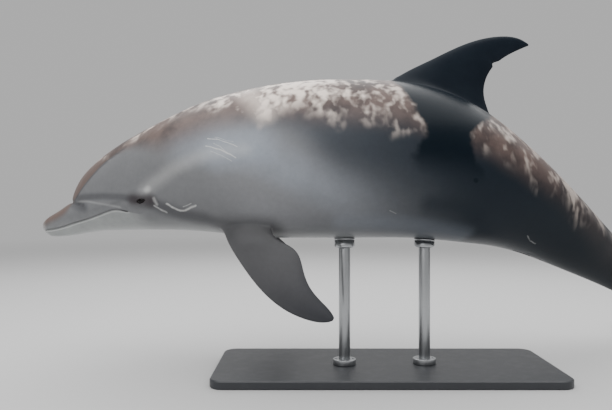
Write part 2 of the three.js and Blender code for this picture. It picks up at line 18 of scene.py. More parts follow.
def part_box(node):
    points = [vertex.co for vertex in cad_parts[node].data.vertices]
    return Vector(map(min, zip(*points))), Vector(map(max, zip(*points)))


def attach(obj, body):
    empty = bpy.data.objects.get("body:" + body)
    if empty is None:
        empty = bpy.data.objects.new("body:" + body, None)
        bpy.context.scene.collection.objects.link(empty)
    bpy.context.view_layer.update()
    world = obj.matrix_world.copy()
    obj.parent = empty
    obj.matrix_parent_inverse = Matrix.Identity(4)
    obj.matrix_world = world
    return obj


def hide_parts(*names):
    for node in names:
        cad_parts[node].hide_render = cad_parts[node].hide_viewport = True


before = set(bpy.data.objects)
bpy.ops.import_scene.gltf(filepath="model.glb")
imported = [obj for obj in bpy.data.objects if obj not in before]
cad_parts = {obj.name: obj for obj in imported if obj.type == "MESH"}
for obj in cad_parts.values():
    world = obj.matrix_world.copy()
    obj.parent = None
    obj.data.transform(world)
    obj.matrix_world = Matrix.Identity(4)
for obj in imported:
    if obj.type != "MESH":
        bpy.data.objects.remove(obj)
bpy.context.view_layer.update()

bl_info = {
    "name": "Bottlenose Dolphin",
    "version": (1, 0, 0),
    "blender": (4, 5, 0),
    "location": "3D View > Sidebar > Dolphin",
    "description": "Builds a life-size museum model of a bottlenose dolphin on its display stand",
    "category": "Object",
}

BODY_LENGTH = 2.5
FLESH = (
    "beak_upper", "lower_jaw", "head", "chest", "trunk", "tail_stock_front", "tail_stock_rear",
    "fluke_left", "fluke_right", "dorsal_fin", "flipper_left", "flipper_right",
)

# Where the spine passes the middle of the trunk, and the way it runs, in degrees.
ANCHOR_STATION = 0.3945
ANCHOR_POINT = (-0.0857, -0.01, 0.6328)
SPINE_STEPS = 2000
# How a point's place on the spine is found: points at once, steps of the first look,
# then rounds and their pace.
LOCATED_AT_ONCE = 4000
LOCATE_STRIDE = 10
LOCATE_ROUNDS = 6
LOCATE_PACE = 0.8
# Rounds that find the angle of a height on a section.
TURN_ROUNDS = 30
SPINE_PITCH = (
    (0, -15), (0.08, -15), (0.16, -15), (0.24, -13), (0.32, -7), (0.4, -1), (0.48, 7),
    (0.56, 19), (0.64, 29), (0.72, 31), (0.8, 28), (0.88, 23), (0.95, 18), (1, 15),
)
SPINE_YAW = ((0, -7), (0.2, -4), (0.4, 0), (0.55, 13), (0.7, 27), (0.85, 31), (1, 29))

# Section sizes by station, in thousandths of a metre.
HALF_WIDTH = (
    (0, 0), (0.004, 22), (0.01, 30), (0.02, 36), (0.03, 41), (0.04, 48), (0.05, 57), (0.06, 67),
    (0.08, 88), (0.1, 107), (0.12, 122), (0.15, 144), (0.19, 170), (0.24, 192), (0.28, 206),
    (0.32, 216), (0.36, 221), (0.4, 222), (0.44, 219), (0.48, 211), (0.52, 200), (0.56, 184),
    (0.6, 164), (0.64, 142), (0.68, 121), (0.72, 101), (0.76, 82), (0.8, 66), (0.84, 51),
    (0.88, 40), (0.92, 32), (0.96, 22), (1, 3),
)
BACK_HEIGHT = (
    (0.12, 174.7), (0.15, 193.7), (0.19, 214.8), (0.24, 234.5), (0.28, 240), (0.32, 242),
    (0.36, 240), (0.4, 235.5), (0.44, 230.5), (0.48, 218), (0.52, 191), (0.56, 151), (0.6, 119),
    (0.64, 100), (0.68, 92), (0.72, 89.5), (0.76, 89.5), (0.8, 88), (0.85, 76), (0.9, 57),
    (0.94, 43), (0.97, 29), (1, 5),
)
BELLY_DEPTH = (
    (0, 0), (0.004, 26.3), (0.008, 34.1), (0.014, 40), (0.02, 43.4), (0.03, 47.5), (0.045, 52.1),
    (0.07, 59.2), (0.1, 75.6), (0.15, 107.6), (0.19, 137.7), (0.24, 180), (0.28, 206),
    (0.32, 220.2), (0.36, 228.4), (0.4, 231.7), (0.44, 230.4), (0.48, 226.5), (0.52, 220),
    (0.56, 207), (0.6, 186), (0.64, 163.5), (0.68, 142), (0.72, 120.5), (0.76, 98.5), (0.8, 80),
    (0.85, 64), (0.9, 52), (0.94, 41), (0.97, 28), (1, 5),
)
BEAK_HEIGHT = (
    (0, 0), (0.004, 14.5), (0.014, 26.2), (0.03, 37.2), (0.0425, 46.9), (0.06, 52), (0.08, 55),
    (0.12, 60), (0.2, 80), (0.4, 120), (1, 100),
)
THOUSANDTH = 0.001

# Roundness of a section: 2 is an ellipse, less is keeled, more is boxy.
BACK_ROUNDNESS = (
    (0, 2.3), (0.05, 2.2), (0.12, 2.15), (0.3, 2.1), (0.5, 2.05), (0.6, 1.95), (0.7, 1.8),
    (0.8, 1.62), (0.9, 1.5), (1, 1.5),
)
BELLY_ROUNDNESS = (
    (0, 2.3), (0.05, 2.3), (0.12, 2.3), (0.3, 2.15), (0.5, 2.1), (0.6, 2), (0.7, 1.8),
    (0.8, 1.62), (0.9, 1.5), (1, 1.5),
)

# The melon rises behind a crease at the root of the beak.
MELON_START = 0.0445
MELON_HEIGHT = (
    (0, 46), (0.0742, 73), (0.1245, 100.3), (0.1597, 120.4), (0.1884, 135.1), (0.2356, 157.5),
    (0.2748, 174.7), (0.3248, 193.7),
)
MELON_SPREAD = 0.43
MELON_MIN_HALF_WIDTH = 0.004
MELON_JOINS_BACK = 0.13
MELON_FADE = (0.11, 0.16)
CREASE_SOFTNESS = (0.004, 0.012)
CREASE_LOOSENS = (0.05, 0.1)
CREASE_OPENS_OVER = 0.01
SMALLEST_RADIUS = 0.0005

# The cage of the skin: rings along the body and columns round it.
COLUMNS = 44
BEAK_STATIONS = (
    0.006, 0.009, 0.013, 0.018, 0.024, 0.03, 0.036, 0.0405, 0.0435, 0.0455, 0.0485, 0.053, 0.0585,
)
LAST_STATION = 0.9975
LAST_RIM_STATION = 0.9935
# Each stretch of the body behind the beak: where it ends and the rings in it.
CAGE_STRETCHES = ((0.205, 22), (0.905, 46), (LAST_STATION, 11))
SKIN_LEVELS = 2
# The skin lies this far inside the solids that it covers.
SKIN_INSET = 0.00015
SETTLED_STATIONS = (0.004, 0.985)
# How fast a grown part takes over from the plain body.
GROWN_EDGE = 8

# Height of the mouth line from the spine, by station, in thousandths of a metre.
MOUTH_LINE = (
    (0, -13), (0.006, -14), (0.0105, -15.5), (0.0205, -19), (0.03, -20.3), (0.05, -19.6), (0.073, -20.6),
    (0.093, -18.6), (0.105, -17.6), (0.1125, -20), (0.119, -26), (0.1265, -34.8), (0.14, -50),
)
MOUTH_COLUMN = 14
MOUTH_END = 0.1262
MOUTH_TURN_ENDS = (0.13, 0.2)
# How strongly the mouth draws its own column and the neighbours on each side.
MOUTH_PULL = 0.5
MOUTH_NEIGHBOURS = {1: 1.0, 2: 0.3}
MOUTH_COLUMN_LIMIT = 0.95
# The mouth line's stations: where they start, where they widen, and the points before and after that.
MOUTH_STEPS_CHANGE = (0.0012, 0.02)
MOUTH_STEPS = (24, 60)
MOUTH_TAPER = 0.05
# Side of the mouth, height, distance from the line and half width of each lip.
LIPS = ((-1, 0.0012, 0.006, 0.004), (1, 0.0006, 0.005, 0.003))
# The crease: how far round the head it runs in degrees, where it is looked for, half width and taper.
CREASE_END = 72
CREASE_STATIONS = (0.045, 0.12)
CREASE_STEPS = (60, 240)
CREASE_FOLD = (0.0045, 0.12)
SNOUT_RUNG = 5
SNOUT_SEARCH = 1.2
# Rows and columns round a grown part that ease its border into the rest of the cage.
EASING_ROWS = 6
EASING_COLUMNS = 5
EASING_ROUNDS = 80
PATCH_ROUNDS = 200
DROP_ROUNDS = 40
GROWN = ("dorsal", "flipper", "fluke", "eyelid", "blowhole")
UPRIGHT = np.array([0.0, 0.0, 1.0])

# Eyes.
EYE_STATION = 0.1467
EYE_ANGLE = 96.7
EYE_HALF_AXES = (0.015, 0.009, 0.011)
EYE_INSET = 0.005
EYE_PATCH = 0.033
# Steps back along the spine and up the cheek, in radians, that give the eye's own directions.
EYE_STEP_BACK = 0.01
EYE_STEP_UP = 0.1
CORNEA_RISE = 0.0008
CORNEA_RADIUS = 0.0075
EYEBALL_RINGS = 28
EYEBALL_COLUMNS = 40
EYE_RIM = (0.041, 0.034)
# Loops of the lids, from the outside in: how far past the opening, and the lift at the middle and corners.
EYELID_LOOPS = (
    (0.019, 0.0205, 0.002, 0.001),
    (0.012, 0.013, 0.004, 0.0022),
    (0.0075, 0.0078, 0.0058, 0.003),
    (0.0048, 0.0045, 0.005, 0.0022),
    (0.0025, 0.0022, 0.0058, 0.0022),
    (0.0004, 0.0003, 0.005, 0.0012),
    (0.0, 0.0, 0.002, -0.0012),
    (-0.001, 0.0006, -0.006, -0.007),
)

# Blowhole.
BLOWHOLE_STATION = 0.134
BLOWHOLE_RADIUS = 0.0165
BLOWHOLE_HALF_TURN = 76
# Radius of the rim, and radius and lift of the round loop inside it.
BLOWHOLE_RIM = (0.042, 0.031, 0.001)
# Half width and lift of the crescent's loops, from the lip down into the hole.
BLOWHOLE_LOOPS = ((0.0062, 0.0022), (0.0026, 0.0016), (0.0016, -0.0035), (0.0012, -0.0065))

# Dorsal fin edges, back and up from the spine at the fin's station, in thousandths of a metre.
FIN_STATION = 0.5
FIN_FRONT_EDGE = (
    (-205, 190), (-157, 252), (-57, 309), (43, 358), (120, 386), (200, 398), (250, 390), (277, 372),
)
FIN_BACK_EDGE = (
    (165, 95), (148, 168), (132, 212), (138, 265), (166, 308), (216, 344), (258, 364), (277, 372),
)
FIN_HALF_THICKNESS = ((0, 56), (0.15, 34), (0.3, 20), (0.55, 13), (0.8, 8), (1, 4))
FIN_ROOT_BEND = 0.3
FIN_ROOT = (0.427, 0.556)
# Where a fin leaves the body, as a share of its edges, and how much wider it is there.
FIN_RIM = (0.125, 1.06)
FLIPPER_RIM = (0.12, 1.05)
FLUKE_RIM = (0.06, 0.97)
FIN_SHARES = (
    0.19, 0.25, 0.31, 0.38, 0.45, 0.51, 0.56, 0.59, 0.608, 0.62, 0.632, 0.643, 0.654, 0.665, 0.676, 0.686,
    0.697, 0.712, 0.74, 0.78, 0.82, 0.86, 0.9, 0.94, 0.97, 0.99,
)
# Old nicks in the back edge: share of the edge's length, half width as a share, and depth.
FIN_NOTCHES = ((0.656, 0.02, 0.012), (0.673, 0.007, 0.004), (0.63, 0.008, 0.003), (0.79, 0.008, 0.003))
BACK_EDGE_THINNING = 0.35
FIN_CHORD = 0.99

# Flipper edges, along the span and towards the front edge, in thousandths of a metre.
FLIPPER_STATION = 0.262
FLIPPER_ANGLE = 143
FLIPPER_FRONT_EDGE = (
    (-95, 74), (-45, 77), (30, 91), (105, 104), (188, 106), (256, 92), (309, 67), (340, 42), (351, 20),
)
FLIPPER_BACK_EDGE = (
    (5, -30), (66, -24), (108, -35), (146, -43), (189, -21), (235, 3), (290, 10), (335, 13), (351, 20),
)
FLIPPER_HALF_THICKNESS = ((0, 46), (0.13, 34), (0.28, 18), (0.5, 13), (0.8, 8), (1, 3.5))
# Span and front edge directions: along the body, out from it and up.
LEFT_FLIPPER = ((0.569, 0.255, -0.782), (-0.814, 0.043, -0.579))
RIGHT_FLIPPER = ((0.13, 0.68, -0.72), (-0.96, -0.05, -0.22))
FLIPPER_ROOT = (0.226, 0.288)
FLIPPER_COLUMN = 18
FLIPPER_SHARES = (0.19, 0.26, 0.34, 0.42, 0.5, 0.58, 0.66, 0.74, 0.82, 0.89, 0.95, 0.985)

# Fluke edges, back from the notch and out from the middle, in thousandths of a metre.
FLUKE_STATION = 0.96
FLUKE_FRONT_EDGE = (
    (-215, 0), (-192, 30), (-158, 62), (-116, 110), (-70, 165), (-24, 220), (20, 264), (48, 290), (66, 300),
)
FLUKE_BACK_EDGE = (
    (-8, 0), (10, 14), (24, 50), (30, 100), (34, 160), (41, 215), (50, 258), (59, 285), (66, 300),
)
FLUKE_HALF_THICKNESS = ((0, 16), (0.2, 13), (0.5, 9), (0.8, 5.5), (1, 2.5))
FLUKE_DROOP = 0.15
FLUKE_ROOT = 0.918
FLUKE_SHARES = (0.13, 0.2, 0.28, 0.36, 0.44, 0.52, 0.6, 0.68, 0.76, 0.84, 0.9, 0.95, 0.985)

# Small folds on both sides: the places (station, height in thousandths) each runs through, depth and width.
FOLDS = (
    (((0.1365, -17), (0.1435, -30), (0.153, -34), (0.162, -28)), 0.0012, 0.0034),
    (((0.1375, 0), (0.146, 2), (0.1545, -4), (0.1605, -13)), 0.0009, 0.0036),
    (((0.1215, -14), (0.1252, -24), (0.1262, -33), (0.1235, -42)), 0.0016, 0.0036),
    (((0.1285, -22), (0.1305, -33), (0.128, -45)), 0.0008, 0.003),
    (((0.1662, -31), (0.1667, -33)), 0.0035, 0.0028),
)
# Slits of the belly: from and to station, degrees off the middle, depth and width.
BELLY_SLITS = (
    (0.462, 0.466, 0, 0.004, 0.006),
    (0.628, 0.664, 0, 0.005, 0.0045),
    (0.645, 0.655, 9, 0.002, 0.004),
    (0.645, 0.655, -9, 0.002, 0.004),
    (0.676, 0.681, 0, 0.005, 0.005),
)
FOLD_TAPER = 0.3
SLIT_TAPER = 0.2
SLIT_STEPS = 24

# The stand.
POSTS = ("front", "rear")
TURNED_SIDES = 72
COLLAR_EDGE = 0.0015
ROD_EDGE = 0.0005
CUP_EDGE = 0.004
CUP_FOOT = 0.02
CUP_BEVEL = 0.002
PAD_WALL = 0.003
PAD_PROUD = 0.0005
PAD_SEAT = 0.0002
PAD_GAP = 0.0004
RAY_START = 0.05
# Heights in a profile that stand for a ring's place under the belly.
AT_PAD_FOOT = 0.0
AT_BELLY = 1.0
SCREW_SIDES = 24
# Height of a screw's head as a share of its radius, and how far it is sunk in the collar.
SCREW_HEIGHT = 0.6
SCREW_SUNK = 0.0002

SENSOR_WIDTH = 36.0
CAMERA_PLACE = (-0.235, -1.9204, 0.4985)
FLOOR_SIZE = 60.0
# Distances between which the floor fades into the room.
FLOOR_FADE = (2.5, 9.0)
# Each lamp's name, place, aim and size.
LAMPS = (
    ("key_light", (-1.8, -2.8, 3.0), (-0.1, 0, 0.6), 3.4),
    ("top_light", (0.2, 0.5, 3.4), (0.0, 0, 0.6), 6.0),
)

# How far round a fold or line its distance is worked out.
LINE_REACH = 0.03
LINE_STEPS = 48
LINE_LIMIT = 0.999

# Levels that divide the paint: height from the spine in thousandths of a metre, by station.
LEVELS = {
    "cape": (
        (0, -8), (0.0112, 1), (0.0218, 6), (0.033, 12), (0.0422, 21), (0.0475, 32), (0.053, 45), (0.0587, 53),
        (0.0705, 73), (0.087, 98), (0.1009, 118), (0.1134, 131), (0.1279, 142), (0.1384, 147), (0.155, 142),
        (0.18, 128), (0.22, 128), (0.25, 140), (0.28, 132), (0.36, 108), (0.44, 86), (0.5, 52),
        (0.56, 12), (0.62, -5), (0.7, -20), (1, -20),
    ),
    "dark": (
        (0, 260), (0.24, 250), (0.3, 130), (0.336, 68), (0.364, -12), (0.397, -56), (0.43, -78), (0.465, -92),
        (0.5, -118), (0.56, -150), (0.65, -190), (1, -200),
    ),
    # How far down the back the painted patches of sunlight reach.
    "sunlit_back": (
        (0, 90), (0.06, 110), (0.1, 158), (0.14, 192), (0.18, 198), (0.21, 205), (0.24, 200), (0.262, 172),
        (0.28, 128), (0.327, 124), (0.366, 114), (0.405, 94), (0.431, 76), (0.453, 66), (0.5, 62), (0.52, 64),
        (0.54, 30), (0.57, 2), (0.602, 0), (0.637, 6), (0.67, 8), (0.76, 30), (1, 36),
    ),
    "belly": (
        (0, -18), (0.05, -30), (0.1, -48), (0.14, -74), (0.2, -125), (0.28, -190), (0.4, -212),
        (0.5, -206), (0.6, -172), (0.7, -122), (0.8, -84), (1, -60),
    ),
}
# How softly the brown of the back ends, by station.
CAPE_SOFTNESS = ((0, 13), (0.047, 11), (0.06, 5), (0.12, 6), (0.15, 25), (0.2, 55), (1, 55))
# Soft marks on both flanks: the (station, height) places that each runs through, half width and softness.
MARKS = {
    "pale_band": (
        ((0.25, 60), (0.282, 40), (0.311, -10), (0.34, -58), (0.371, -98), (0.413, -128), (0.4515, -146)),
        0.085, 1.0,
    ),
    "pale_shoulder": (((0.215, 110), (0.25, 75), (0.29, 62)), 0.095, 1.0),
    # A larger pale pool of painted sunlight on the back.
    "pale_back": (((0.285, 212), (0.294, 168), (0.302, 138)), 0.05, 1.0),
    "dark_wedge": (((0.468, -128), (0.49, -124), (0.53, -128)), 0.045, 1.0),
    "pale_under": (((0.37, -182), (0.43, -188), (0.48, -196), (0.53, -198)), 0.042, 1.0),
    "face_band": (((0.062, 50), (0.0752, 44.5), (0.1, 29), (0.1259, 9.8), (0.14, -8)), 0.0155, 0.8),
    "face_line": (((0.052, 42), (0.066, 37), (0.0785, 28), (0.1, 5), (0.1187, -16)), 0.005, 1.0),
    "melon_line": (
        ((0.0545, 46), (0.0587, 52), (0.0705, 72), (0.087, 97), (0.1009, 117), (0.1134, 130), (0.1279, 143),
         (0.1384, 153)),
        0.0046, 0.9,
    ),
    # Painted shade where the beak narrows below the melon.
    "beak_wedge": (((0.0515, 40), (0.0613, 25), (0.07, 15)), 0.023, 1.0),
    "eye_stripe": (
        ((0.16, -34), (0.175, -62), (0.187, -82), (0.202, -100), (0.213, -112), (0.232, -145), (0.247, -165)),
        0.03, 0.9,
    ),
    "brow_streak": (((0.1555, 10), (0.1905, 41), (0.2156, 52.7), (0.2393, 59.5), (0.275, 48)), 0.034, 1.0),
    # A painted highlight on the brow over the eye.
    "brow": (((0.1574, 9), (0.1588, 10)), 0.0155, 1.0),
    "eye_corner": (((0.1385, -7), (0.1477, -15), (0.157, -22)), 0.032, 0.9),
    # The flipper's grey round its root, partly painted shade where the flipper meets the body.
    "axilla": (((0.236, -158), (0.262, -172), (0.284, -186)), 0.062, 0.8),
}
# Marks of the face from the first coat to the last, with their strength and colour; the beak wedge is painted
# shade and the brow a painted highlight.
FACE_COATS = (
    ("face_band", 0.55, "stripe"), ("face_line", 0.2, "brow"), ("beak_wedge", 0.6, "stripe"),
    ("melon_line", 0.6, "stripe"), ("eye_stripe", 0.62, "stripe"), ("brow_streak", 0.22, "brow"),
    ("brow", 0.55, "brow"), ("eye_corner", 0.8, "eye_patch"),
)
# Front and rear edges of the fin's painted shadow, a dark patch under the dorsal fin: height, then station.
FIN_SHADE_FRONT = (
    (-80, 0.452), (-20, 0.447), (6.5, 0.4462), (39, 0.4535), (76, 0.4555), (115, 0.4489), (152, 0.4429),
    (184, 0.4383), (240, 0.43),
)
FIN_SHADE_REAR = (
    (-80, 0.53), (-20, 0.515), (4, 0.508), (42, 0.5009), (79, 0.5023), (114, 0.51), (151, 0.525), (190, 0.55),
    (240, 0.57),
)
FIN_SHADE_SOFTNESS = 0.012
FIN_SHADE_FOOT = (-0.14, -0.02)
# A small dark spot on the flank: from, to and half width.
FLANK_SPOT = ((0.5108, -47), (0.5112, -48), 0.008)
# Scars on the left flank: the places that each runs through, its half width and its strength.
SCAR_SHAKE = 0.006
SCAR_SPREAD = 1.3
SCARS = (
    (((0.2386, 100), (0.248, 92), (0.258, 78), (0.2689, 58)), 0.0017, 0.85),
    (((0.2353, 80), (0.244, 70), (0.255, 52), (0.265, 30)), 0.002, 0.95),
    (((0.2446, 82), (0.251, 68), (0.2564, 48)), 0.0015, 0.6),
    (((0.24, 62), (0.25, 46), (0.26, 22)), 0.0013, 0.5),
    (((0.247, 98), (0.2655, 74)), 0.0011, 0.45),
    (((0.1628, -20), (0.164, -38)), 0.0058, 0.4),
    (((0.1605, -40), (0.1655, -52), (0.1715, -66)), 0.0034, 0.5),
    (((0.1757, -44), (0.1815, -60), (0.188, -72), (0.194, -76), (0.2075, -70)), 0.0036, 0.8),
    (((0.1935, -64), (0.2035, -62)), 0.0018, 0.5),
    (((0.612, -133), (0.622, -139), (0.634, -137)), 0.0018, 0.35),
    (((0.425, -150), (0.4325, -158)), 0.0018, 0.25),
)


# ---------------------------------------------------------------- curves and the spine

def spline(knots, scale=1.0):
    """A natural cubic spline through (x, y) knots, for arrays."""
    x, y = np.array(knots, float).T
    y = y * scale
    width = np.diff(x)
    last = len(x) - 1
    matrix, right = np.eye(len(x)), np.zeros(len(x))
    for i in range(1, last):
        matrix[i, i - 1:i + 2] = width[i - 1], 2 * (width[i - 1] + width[i]), width[i]
        right[i] = 6 * ((y[i + 1] - y[i]) / width[i] - (y[i] - y[i - 1]) / width[i - 1])
    bend = np.linalg.solve(matrix, right)

    def value(at):
        at = np.asarray(at, float)
        i = np.clip(np.searchsorted(x, at) - 1, 0, last - 1)
        a, b, w = x[i + 1] - at, at - x[i], width[i]
        curved = (bend[i] * a ** 3 + bend[i + 1] * b ** 3) / (6 * w)
        return curved + (y[i] / w - bend[i] * w / 6) * a + (y[i + 1] / w - bend[i + 1] * w / 6) * b

    return value


def root_spline(knots):
    """A spline over the square root of the station, which rounds off the snout."""
    curve = spline([(math.sqrt(u), y) for u, y in knots], THOUSANDTH)
    return lambda u: curve(np.sqrt(np.maximum(u, 0)))


def edge_curve(points):
    """A smooth curve through 2-D points, by share of its length."""
    points = np.array(points, float)
    reach = lengths_along(points)
    along = [spline(np.stack([reach / reach[-1], points[:, k]], -1), THOUSANDTH) for k in (0, 1)]
    return lambda t: (along[0](t), along[1](t))


def lengths_along(points):
    return np.concatenate([[0], np.cumsum(np.linalg.norm(np.diff(points, axis=0), axis=1))])


def ease(low, high, x):
    share = np.clip((x - low) / (high - low), 0, 1)
    return share * share * (3 - 2 * share)


def bell(x, middle, width):
    return np.exp(-((x - middle) / width) ** 2)


def column(value):
    return np.asarray(value, float)[..., None]


def unit(vector):
    vector = np.asarray(vector, float)
    return vector / np.linalg.norm(vector)


pitch_at = spline(SPINE_PITCH)
yaw_at = spline(SPINE_YAW)
half_width_at = root_spline(HALF_WIDTH)
back_height_at = spline(BACK_HEIGHT, THOUSANDTH)
belly_depth_at = root_spline(BELLY_DEPTH)
beak_height_at = root_spline(BEAK_HEIGHT)
back_roundness_at = spline(BACK_ROUNDNESS)
belly_roundness_at = spline(BELLY_ROUNDNESS)
melon_height_at = spline(MELON_HEIGHT, THOUSANDTH)
mouth_level_at = spline(MOUTH_LINE, THOUSANDTH)


def directions(u):
    """Unit vectors of the spine: back along the body, out to the right flank, and up."""
    pitch, yaw = np.radians(pitch_at(u)), np.radians(yaw_at(u))
    along = np.stack([np.cos(yaw) * np.cos(pitch), np.sin(yaw) * np.cos(pitch), -np.sin(pitch)], -1)
    right = np.stack([-np.sin(yaw), np.cos(yaw), 0 * yaw], -1)
    return along, right, np.cross(along, right)


class Spine:
    """The spine's points at even steps, through the anchor, for a body of a given length."""

    def __init__(self, length):
        self.length = length
        self.stations = np.linspace(0, 1, SPINE_STEPS + 1)
        middle = (self.stations[1:] + self.stations[:-1]) / 2
        steps = directions(middle)[0] * (length / SPINE_STEPS)
        points = np.concatenate([np.zeros((1, 3)), np.cumsum(steps, axis=0)])
        anchor = points[int(round(ANCHOR_STATION * SPINE_STEPS))]
        self.points = points - anchor + np.array(ANCHOR_POINT)

    def point(self, u):
        return np.stack([np.interp(u, self.stations, self.points[:, k]) for k in range(3)], -1)

    def place(self, u, right, up):
        """A point off the spine at station u."""
        _, out, rise = directions(u)
        return self.point(u) + (out * column(right) + rise * column(up))

    def locate(self, points):
        """Station, distance to the left and height of points, measured from the spine."""
        points = np.atleast_2d(points)
        best = np.zeros(len(points), int)
        for start in range(0, len(points), LOCATED_AT_ONCE):
            part = slice(start, start + LOCATED_AT_ONCE)
            gap = points[part, None, :] - self.points[None, ::LOCATE_STRIDE, :]
            best[part] = np.argmin((gap ** 2).sum(-1), axis=1) * LOCATE_STRIDE
        u = self.stations[best]
        for _ in range(LOCATE_ROUNDS):
            gap = points - self.point(u)
            u = u + (gap * directions(u)[0]).sum(-1) / self.length * LOCATE_PACE
            u = np.clip(u, 0, 1)
        gap = points - self.point(u)
        along, right, up = directions(u)
        beyond = (gap * along).sum(-1) / self.length
        return u + beyond, -(gap * right).sum(-1), (gap * up).sum(-1)


def quarter_section(sine, cosine, half_width, height, roundness):
    total = (np.abs(sine) / half_width) ** roundness + (np.abs(cosine) / height) ** roundness
    return total ** (-1 / roundness)


def upper_sections(u, sine, cosine):
    """Distances from the spine to the beak, to the melon and to the plain back."""
    roundness = back_roundness_at(u)
    half_width = np.maximum(half_width_at(u), SMALLEST_RADIUS)
    behind = np.sqrt(np.maximum(u - MELON_START, 0))
    back_height = np.maximum(back_height_at(np.maximum(u, BACK_HEIGHT[0][0])), SMALLEST_RADIUS)
    height = np.where(u < MELON_JOINS_BACK, melon_height_at(behind), back_height)
    sizes = (
        (half_width, np.maximum(beak_height_at(u), SMALLEST_RADIUS)),
        (np.minimum(MELON_SPREAD * behind + MELON_MIN_HALF_WIDTH, half_width), height),
        (half_width, height),
    )
    return [quarter_section(sine, cosine, *size, roundness) for size in sizes]


def smooth_max(a, b, softness):
    share = np.maximum(softness - np.abs(a - b), 0) / softness
    return np.maximum(a, b) + share * share * softness / 4


def body_radius(u, angle):
    """Distance from the spine to the skin."""
    u, angle = np.broadcast_arrays(np.asarray(u, float), np.asarray(angle, float))
    sine, cosine = np.sin(angle), np.cos(angle)
    half_width = np.maximum(half_width_at(u), SMALLEST_RADIUS)
    depth = np.maximum(belly_depth_at(u), SMALLEST_RADIUS)
    below = quarter_section(sine, cosine, half_width, depth, belly_roundness_at(u))
    beak, melon, whole = upper_sections(u, sine, cosine)
    tight, loose = CREASE_SOFTNESS
    softness = tight + (loose - tight) * ease(*CREASE_LOOSENS, u)
    softness = softness * ease(MELON_START, MELON_START + CREASE_OPENS_OVER, u)
    head = smooth_max(beak, melon, np.maximum(softness, SMALLEST_RADIUS))
    head = head + (whole - head) * ease(*MELON_FADE, u)
    return np.where(cosine > 0, np.where(u > MELON_START, head, beak), below)


def skin_point(spine, u, angle, outside=0.0):
    radius = body_radius(u, angle) + outside
    return spine.place(u, -radius * np.sin(angle), radius * np.cos(angle))


def turn_at(u, height, limit=1.0):
    """The left flank's angle where the skin has a given height over the spine."""
    turn = np.full_like(u, math.pi / 2)
    for _ in range(TURN_ROUNDS):
        turn = np.arccos(np.clip(height / body_radius(u, turn), -limit, limit))
    return turn


# ---------------------------------------------------------------- the cage of the skin

def cells(rows, columns):
    return [(i, j) for i in range(*rows) for j in range(*columns)]


def ring_pairs(ring):
    return zip(ring, [*ring[1:], ring[0]])


